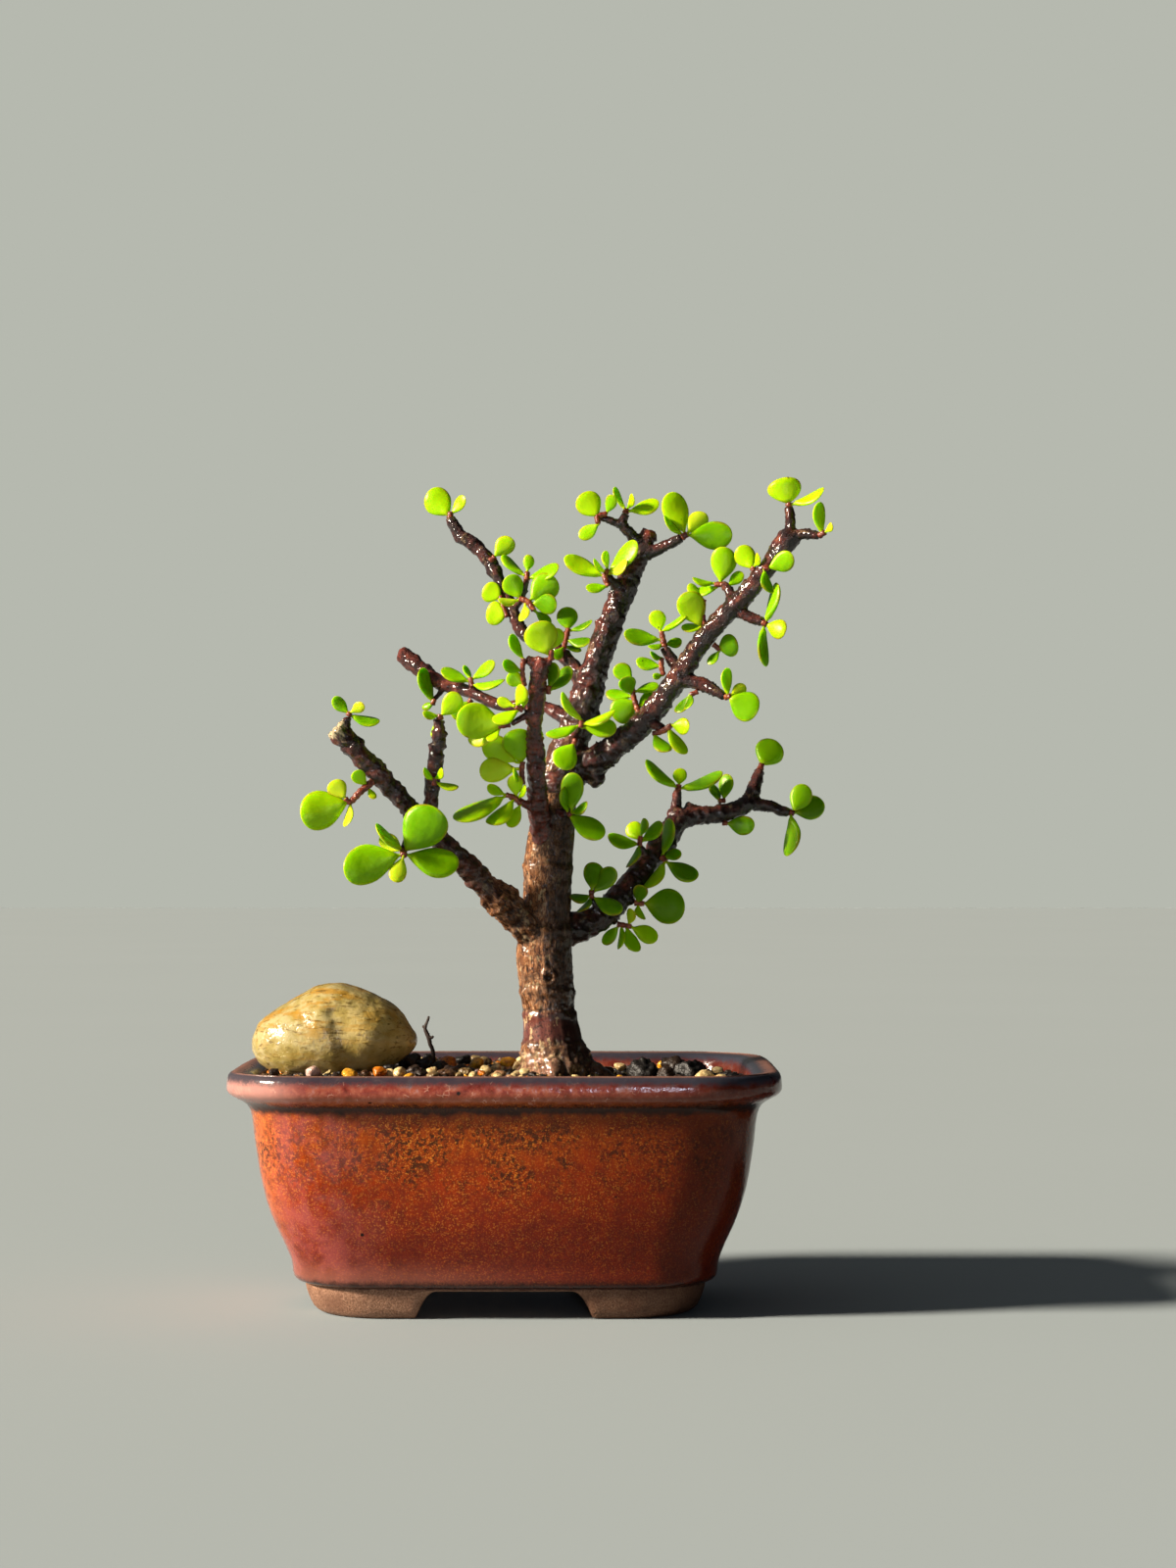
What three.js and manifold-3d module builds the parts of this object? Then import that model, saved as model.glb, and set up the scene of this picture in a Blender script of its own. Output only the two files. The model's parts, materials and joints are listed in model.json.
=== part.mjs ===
// A small jade bonsai in a glazed rectangular clay pot, with a river stone on its soil.
// Millimetres, +Z up, +X to the right of the front, +Y to the back.
// Everything is laid out round the middle of the pot, and its feet stand at TABLE.

import * as THREE from 'three';
import { mergeVertices } from 'three/addons/utils/BufferGeometryUtils.js';
import Module from 'manifold-3d';

const wasm = await Module();
wasm.setup();

// Driving dimensions

const GAP = 0.3;                    // clearance between neighbouring pieces

const TABLE = -3.8;                 // the surface that the feet stand on
const POT_TOP = 62.8;               // top of the rim
const POT_NARROWER = 19.5;          // how much less the pot's half depth is than its half width
const POT_UNDERSIDE = 4;            // underside of the floor, at the top of the feet
const POT_FLOOR = 9.2;              // top of the pot's floor, under the soil
const CORNER_STEPS = 5;             // facets in each rounded corner of the pot
const DRAIN_HOLES = [-30, 30];      // x of the two drainage holes
const DRAIN_RADIUS = 6;
const MESH_SIDE = 20;               // the square plastic meshes over the drainage holes
const MESH_THICK = 1.2;

const STONE_CENTRE = [-48.6, -8, 71.2];
const STONE_HALF = [22.6, 15, 13.6];

// The front view's eye: the trunk's plane is y = 0, and x and z below are read in it.
const EYE = new THREE.Vector3(22.5, -800, 115.7);

// How each main branch leans to the back (+) or the front (-), for each millimetre away
// from its own foot: [foot x, foot z, lean].
const LEANS = {
  trunk: [0, 0, 0],
  left: [5, 100, -0.22],
  slender: [9, 127, -0.22],
  upperLeft: [21, 169, 0.14],
  farLeft: [17, 157, 0.34],
  right: [19, 145, -0.2],
  lowerRight: [16, 99, 0.28],
};

const BLADE_SLIMMEST = 0.9;         // least thickness of a leaf's middle
const BLADE_FATTEST = 1.8;

// Colours

const paint = (hex, roughness) =>
  new THREE.MeshStandardMaterial({ color: hex, roughness, metalness: 0 });

const GLAZE = paint('#a1401f', 0.35);
const EARTH = paint('#2b211a', 0.95);
const STONE = paint('#c9a85a', 0.25);
const STALK = paint('#2a1d16', 0.8);
const NET = paint('#1c1c1c', 0.5);
const BARK = paint('#5a3a2c', 0.55);
const GREENS = {
  lime: paint('#a3bf2f', 0.4),
  fresh: paint('#7da52b', 0.4),
  leaf: paint('#55862a', 0.4),
  dark: paint('#335f22', 0.4),
};

// Solids

function solidFrom(points, triangles) {
  const vertProperties = new Float32Array(points.flatMap((p) => [p.x, p.y, p.z]));
  const triVerts = new Uint32Array(triangles.flat());
  return new wasm.Manifold(new wasm.Mesh({ numProp: 3, vertProperties, triVerts }));
}

function solidOf(shape) {
  const bare = shape.clone();
  bare.deleteAttribute('normal');
  bare.deleteAttribute('uv');
  const merged = mergeVertices(bare, 1e-4);
  return new wasm.Manifold(new wasm.Mesh({
    numProp: 3,
    vertProperties: new Float32Array(merged.attributes.position.array),
    triVerts: new Uint32Array(merged.index.array),
  }));
}

// Closes a row of rings, each with the same number of points, into one solid.
function loft(rings) {
  const count = rings[0].length;
  const points = rings.flat();
  const triangles = [];
  for (let band = 0; band + 1 < rings.length; band += 1) {
    for (let i = 0; i < count; i += 1) {
      const next = (i + 1) % count;
      const low = band * count;
      const high = low + count;
      triangles.push([low + i, low + next, high + next], [low + i, high + next, high + i]);
    }
  }
  const top = (rings.length - 1) * count;
  for (let i = 1; i + 1 < count; i += 1) {
    triangles.push([0, i + 1, i], [top, top + i, top + i + 1]);
  }
  return solidFrom(points, triangles);
}

function joined(solids) {
  return solids.reduce((whole, piece) => whole.add(piece));
}

function meshOf(name, solid, material) {
  const { vertProperties, triVerts } = solid.getMesh();
  const shape = new THREE.BufferGeometry();
  shape.setAttribute('position', new THREE.BufferAttribute(new Float32Array(vertProperties), 3));
  shape.setIndex(new THREE.BufferAttribute(new Uint32Array(triVerts), 1));
  shape.computeVertexNormals();
  const mesh = new THREE.Mesh(shape, material);
  mesh.name = name;
  return mesh;
}

// A point read in the trunk's plane, carried along its sight line to its own depth.
function place(x, z, depth, [footX, footZ, lean] = LEANS.trunk) {
  const scale = 1 - (depth + lean * Math.hypot(x - footX, z - footZ)) / EYE.y;
  return new THREE.Vector3(x, 0, z).sub(EYE).multiplyScalar(scale).add(EYE);
}

// A round stem through path points of [x, z, width, depth], `extra` thicker all round.
function stem(path, sides, lean, extra = 0) {
  const centres = path.map(([x, z, , depth]) => place(x, z, depth, lean));
  const ends = centres.length - 1;
  const along = centres.map((p, i) => centres[Math.min(i + 1, ends)].clone()
    .sub(centres[Math.max(i - 1, 0)]).normalize());
  centres[0].addScaledVector(along[0], -extra);
  centres[ends].addScaledVector(along[ends], extra);
  let side = new THREE.Vector3(0, -1, 0);
  const rings = centres.map((centre, i) => {
    side = side.clone().addScaledVector(along[i], -side.dot(along[i])).normalize();
    const across = along[i].clone().cross(side);
    const radius = (path[i][2] / 2) * (1 - centre.y / EYE.y) + extra;
    return Array.from({ length: sides }, (unused, k) => {
      const turn = (2 * Math.PI * k) / sides;
      return centre.clone().addScaledVector(side, radius * Math.cos(turn))
        .addScaledVector(across, radius * Math.sin(turn));
    });
  });
  return loft(rings);
}

// Pot

// A rounded rectangle at height z, counterclockwise from above.
function potRing(z, half, radius) {
  const halfY = half - POT_NARROWER;
  const corners = [[1, 1, 0], [-1, 1, 1], [-1, -1, 2], [1, -1, 3]];
  return corners.flatMap(([sx, sy, quarter]) =>
    Array.from({ length: CORNER_STEPS + 1 }, (unused, k) => {
      const turn = (quarter + k / CORNER_STEPS) * (Math.PI / 2);
      return new THREE.Vector3(
        sx * (half - radius) + radius * Math.cos(turn),
        sy * (halfY - radius) + radius * Math.sin(turn),
        z,
      );
    }));
}

const cornerRadius = (half) => 17 + (half - 52) * 0.3;

// Half widths of the pot by height: foot, groove, flaring wall, groove, rim.
const POT_OUTSIDE = [
  [TABLE, 50.6], [-2.8, 52.6], [0, 53.8], [4.6, 54.8], [5.6, 57.2], [10, 58.3], [15, 60],
  [20.5, 62.5], [27, 64.8], [35, 66.5], [44, 67.8], [54, 69.1], [55, 72], [57, 74.4], [60, 75],
  [62.2, 74.7], [POT_TOP, 73.9],
];
const POT_INSIDE = [[62.5, 70.6], [61.8, 67.3], [50, 64.2], [30, 60.8], [12, 54.6]];
const FLOOR_HALF = 52.6;

function potWallInside(z) {
  const rows = POT_INSIDE;
  for (let i = 0; i + 1 < rows.length; i += 1) {
    const [high, wide] = rows[i];
    const [low, narrow] = rows[i + 1];
    if (z <= high && z >= low) {
      return narrow + ((z - low) / (high - low)) * (wide - narrow);
    }
  }
  return FLOOR_HALF;
}

// The arched opening between two feet, as seen from its own end.
function archBetweenFeet(halfBottom, halfTop, length) {
  const outline = new THREE.Shape();
  const low = TABLE + 3;
  outline.moveTo(-halfBottom, TABLE - 1);
  outline.lineTo(halfBottom, TABLE - 1);
  outline.lineTo(halfBottom, TABLE);
  outline.bezierCurveTo(halfBottom - 1, low + 2, halfTop + 3, low, halfTop, POT_UNDERSIDE);
  outline.lineTo(-halfTop, POT_UNDERSIDE);
  outline.bezierCurveTo(-halfTop - 3, low, -halfBottom + 1, low + 2, -halfBottom, TABLE);
  outline.closePath();
  const shape = new THREE.ExtrudeGeometry(outline, {
    depth: length, bevelEnabled: false, curveSegments: 4,
  });
  shape.translate(0, 0, -length / 2);
  shape.rotateX(Math.PI / 2);
  return shape;
}

function makePot() {
  const outside = POT_OUTSIDE.map(([z, half]) => potRing(z, half, cornerRadius(half)));
  const inside = POT_INSIDE.map(([z, half]) => potRing(z, half, cornerRadius(half) - 4));
  const floor = potRing(POT_FLOOR, FLOOR_HALF, 12);
  let pot = loft([...outside, ...inside, floor]);
  pot = pot.subtract(solidOf(archBetweenFeet(23.5, 18.5, 160)));
  pot = pot.subtract(solidOf(archBetweenFeet(13.5, 9.5, 200).rotateZ(Math.PI / 2)));
  pot = pot.subtract(loft([potRing(TABLE - 1, 43.5, 10), potRing(POT_UNDERSIDE, 43.5, 10)]));
  for (const x of DRAIN_HOLES) {
    const hole = new THREE.CylinderGeometry(DRAIN_RADIUS, DRAIN_RADIUS, 12, 12);
    pot = pot.subtract(solidOf(hole.rotateX(Math.PI / 2).translate(x, 0, POT_FLOOR - 2)));
  }
  return pot;
}

// A square plastic mesh laid over a drainage hole, with four openings.
function makeDrainMesh(x) {
  const z = POT_FLOOR + GAP + MESH_THICK / 2;
  let plate = solidOf(new THREE.BoxGeometry(MESH_SIDE, MESH_SIDE, MESH_THICK).translate(x, 0, z));
  for (const dx of [-4, 4]) {
    for (const dy of [-4, 4]) {
      const opening = new THREE.BoxGeometry(5.6, 5.6, 4).translate(x + dx, dy, z);
      plate = plate.subtract(solidOf(opening));
    }
  }
  return plate;
}

// Wood

// Trunk and branches through [x, z, width, depth], thickest first.
const TRUNK = [
  [16, 40, 6, 0], [15.6, 47, 12, 0], [15, 54, 18, 0], [14.2, 60, 20, 0], [13, 66, 17.5, 0],
  [12.4, 71, 16.4, 0], [11.6, 77, 14.4, 0], [11, 84, 15.2, 0], [10.3, 92, 15.8, 0],
  [10.5, 98, 15, 0], [10.9, 102, 13.4, 0], [11.2, 112, 13.5, 0], [11.5, 120, 13.4, 0],
  [12.8, 130, 12.5, 0], [14, 140, 11, 0.5], [16, 148, 10, 1], [19, 155, 9.5, 1.5],
  [22, 165, 9, 2], [24.5, 173, 7.5, 3], [28, 183, 7, 3.5], [31.8, 193, 6.5, 4],
  [34, 198, 6, 4.5], [36.5, 203, 5, 5], [38.5, 208, 4.6, 5.5], [39.6, 211.4, 3.6, 5.5],
];
const LIMBS = [['trunk', [
  // roots that spread into the soil
  [[14, 65, 10, 0], [20, 62, 7.5, -1], [25.6, 59.5, 5, -2], [31, 56, 2.6, -3]],
  [[12, 64, 9, 0], [5, 60, 6, 2], [-1, 56, 3, 4]],
  [[14, 64, 9, -2], [13, 60, 6.5, -9], [12, 55, 3, -14]],
  [[14, 64, 9, 2], [17, 60, 6.5, 9], [20, 55, 3, 14]],
]], ['left', [
  // lower left branch
  [[9, 97, 8, -1.5], [3, 103, 8.6, -3.5], [-1, 107.5, 9, -5], [-6, 112, 6.6, -6.5],
    [-11, 117.5, 6.2, -8], [-16, 122, 5.8, -9], [-22, 128, 5.5, -10.5], [-27.5, 134, 5.3, -11.5],
    [-32, 139, 5.2, -12], [-36, 143.5, 5.9, -12.5], [-40, 147.5, 5.5, -13],
    [-44, 152, 5.6, -13.5], [-48, 156.2, 5.5, -14]],
  [[-45, 153.5, 2.6, -13.5], [-45, 157.5, 2.2, -13.5], [-44.4, 159.4, 1.9, -13.5]],
  [[-24, 130, 3, -11], [-27, 126, 2.5, -15], [-29, 122.4, 2.3, -18.4]],
  // upright on the lower left branch
  [[-21.5, 129, 4, -10], [-21.5, 134.5, 4, -10], [-20.8, 140, 3.9, -9.8], [-20.2, 145, 4.1, -9.2],
    [-19.6, 150, 4, -8.8], [-19.1, 155, 3.5, -8.4], [-18.8, 158.5, 2.9, -8]],
]], ['slender', [
  // slender stem in front
  [[11.2, 121, 6, -2], [9.3, 127, 6, -5], [8.7, 133, 5.6, -7], [8.2, 140, 5, -8.5],
    [7.8, 150, 4.9, -10.5], [7.6, 157, 4.1, -12], [7.5, 160, 5, -12.5], [8.3, 165, 4.5, -13.5],
    [8.5, 170, 5, -14.5], [9.3, 175.3, 5.2, -15.5]],
  [[8, 133, 2, -8], [4, 135.5, 2, -9.5], [0.6, 137.2, 1.6, -10.5]],
  [[7, 160, 2, -13], [4.6, 159.4, 1.8, -14], [1, 157.3, 1.5, -15]],
  [[8.5, 174, 3, -15], [5.4, 175.3, 2.6, -15.5]],
  [[9.5, 174, 3, -15.5], [12.2, 175, 2.4, -15.8]],
]], ['upperLeft', [
  // thin branch to the upper left, at the back
  [[22.5, 165.5, 4.6, 3], [21, 169, 4.5, 5], [16.5, 175.5, 4, 8], [10, 180, 3.8, 10],
    [5, 182.4, 3.7, 11], [3, 185, 3.5, 11.5], [1.1, 190, 3.1, 12], [-0.4, 193.4, 3.1, 12.5],
    [-2.2, 197.3, 3.6, 13], [-3.8, 200.6, 3.8, 13.5], [-6.2, 204.2, 3.6, 14],
    [-9.5, 207.5, 4, 14.5], [-13.1, 209.8, 3.6, 15], [-15.8, 214.8, 2.7, 16]],
  [[11.5, 178.8, 2.2, 9.5], [14.5, 181, 2, 9], [16.8, 182.8, 1.8, 8.5]],
  [[1.2, 189, 2.2, 12], [3.6, 191.8, 2, 10.5], [5.4, 197.4, 1.8, 9]],
]], ['farLeft', [
  // longer branch to the left, behind the slender stem
  [[20, 156.5, 4.4, 3], [12, 161.5, 3.2, 7], [6, 163, 3, 8.5], [0, 162.2, 3, 9.5],
    [-5, 163.8, 3.1, 10.5], [-9, 165.8, 3.2, 11], [-14, 167.5, 3.6, 12], [-19, 169, 3.9, 12.5],
    [-24, 172.5, 4.6, 13.5], [-29.4, 177, 4.8, 14]],
  [[-9, 165.5, 1.8, 11], [-9.8, 167.5, 1.6, 10], [-10.3, 169.3, 1.5, 9.5]],
  [[-18, 168, 1.8, 12], [-19, 165.6, 1.6, 11], [-20.4, 164.2, 1.5, 10]],
]], ['trunk', [
  // twigs near the leader's top
  [[32.5, 193.5, 3.6, 4], [30, 196.4, 2.8, 1.5], [27.2, 198.4, 2.1, 0]],
  [[38, 206.5, 3.4, 5.5], [34.4, 210.2, 3, 4], [32.1, 213, 2.6, 3], [32.9, 215.9, 2.2, 3]],
  [[32.3, 212.6, 2.2, 3.2], [29.5, 213.8, 2, 2.5], [25.9, 214.9, 1.8, 2]],
  [[37.2, 204, 3.4, 5], [43, 206.5, 3.1, 3], [48.6, 209.3, 2.6, 1]],
  [[39, 209, 2.8, 5.5], [41.6, 209.6, 2.6, 5.5]],
]], ['right', [
  // big branch to the right, coming forward
  [[13.5, 140.5, 9, 0], [19, 145, 9, -0.5], [25, 147.2, 8, -1.5], [30, 151, 7, -2.5],
    [35, 155, 6.5, -3.5], [40, 160, 6.3, -4.5], [44, 165, 6, -5], [47.5, 170, 6.1, -5.5],
    [50, 174, 5.5, -5.9], [54, 180, 5.4, -6.5], [58, 185, 5.3, -7], [62, 189, 5.5, -7.5],
    [66, 193, 5.4, -8], [70, 197.5, 5, -8.5], [74, 203, 4.8, -9.2], [78, 208.4, 5.4, -10],
    [80.4, 211.4, 4.2, -10]],
  [[22, 145, 6, -1], [25.8, 140.6, 4.6, -1.5]],
  [[79, 210, 3.2, -10], [79, 213.8, 2.9, -9.6], [78.4, 218, 2.3, -9]],
  [[79, 210, 3, -10], [83, 210.4, 2.7, -11], [87, 209.8, 2.1, -12.8]],
  [[63, 190, 3, -7.5], [62.2, 193.8, 2.7, -6], [60.4, 196.4, 2.2, -4.2]],
  [[69.6, 197, 2.2, -8.4], [68.6, 200, 1.9, -9]],
  [[63, 189.6, 3.4, -7.6], [67, 187.4, 3.1, -8.8], [71.2, 185.7, 2.4, -10]],
  [[57.6, 184.2, 2.6, -7], [55.4, 184.4, 2, -4.6]],
  [[49, 171, 3.6, -5.5], [46.6, 174, 3.1, -4], [43.9, 178.6, 2.4, -2.2]],
  [[47, 170.4, 4.4, -5.4], [52, 169, 3.8, -7], [56, 167.8, 3.4, -8], [60.6, 164.9, 2.2, -9.8]],
  [[36.5, 157.5, 3.6, -4], [40, 157.6, 3, -6], [43.3, 155.9, 2.4, -7.8]],
  [[36.5, 156.5, 2.2, -3.8], [36.7, 160.2, 1.9, -1.7]],
]], ['trunk', [
  // twigs on the trunk's front
  [[13, 132.6, 2.4, -4], [16.8, 132.2, 1.9, -7.6]],
  [[18.8, 154, 2.6, -2], [20, 156, 2.2, -7], [20.4, 157, 1.8, -9]],
]], ['lowerRight', [
  // lower right branch, going back
  [[11, 98, 8, 1], [16, 99.5, 8, 1.5], [21, 101, 8, 2.5], [26, 103.7, 7.5, 3.5],
    [30, 107.5, 7, 4.5], [34, 112, 6.8, 5.5], [38, 117, 6.5, 7], [41.5, 121, 6.3, 8],
    [45, 126, 6.3, 9], [48, 131.4, 6.4, 10], [48.6, 133.4, 4.6, 10]],
  [[46.6, 130, 5, 9.8], [51.6, 131.6, 5.1, 10], [57.5, 132.1, 4.9, 10.5], [62.9, 133.2, 4.8, 11],
    [67.2, 135.7, 4.4, 11.5], [69.4, 141.3, 3.4, 12], [70.5, 144.4, 2.6, 12]],
  [[66.4, 135, 3.8, 11.4], [72.6, 134.6, 3.2, 11], [76.4, 133.1, 2.9, 10.5],
    [78.7, 132.7, 2.4, 10]],
  [[47.4, 131, 3.2, 10], [47.1, 134.6, 2.8, 9.6], [47.6, 138.7, 2.2, 9]],
  [[50, 131.5, 3.2, 10], [51, 135.3, 2, 10]],
  [[40, 119, 2.6, 7], [38.4, 121.2, 2.2, 5], [36.8, 123.2, 1.8, 4]],
  [[40.6, 119.6, 2.6, 7.4], [43, 120.3, 1.9, 4.2]],
  [[24.6, 103.5, 2.2, 2.5], [25, 106, 1.9, 0], [23.5, 108.6, 1.6, -1.2]],
  [[32.4, 110, 2.6, 4.8], [35.2, 107.6, 1.8, 1.6]],
  [[27.6, 104.4, 2.6, 3.6], [30.4, 101.6, 1.8, 2.9]],
]]];

function makeWood(extra) {
  const pieces = [stem(TRUNK, 10, LEANS.trunk, extra)];
  for (const [branch, paths] of LIMBS) {
    for (const path of paths) {
      const sides = path[0][2] > 4.2 ? 6 : 4;
      pieces.push(stem(path, sides, LEANS[branch], extra));
    }
  }
  return joined(pieces);
}

// Leafy shoots

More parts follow.
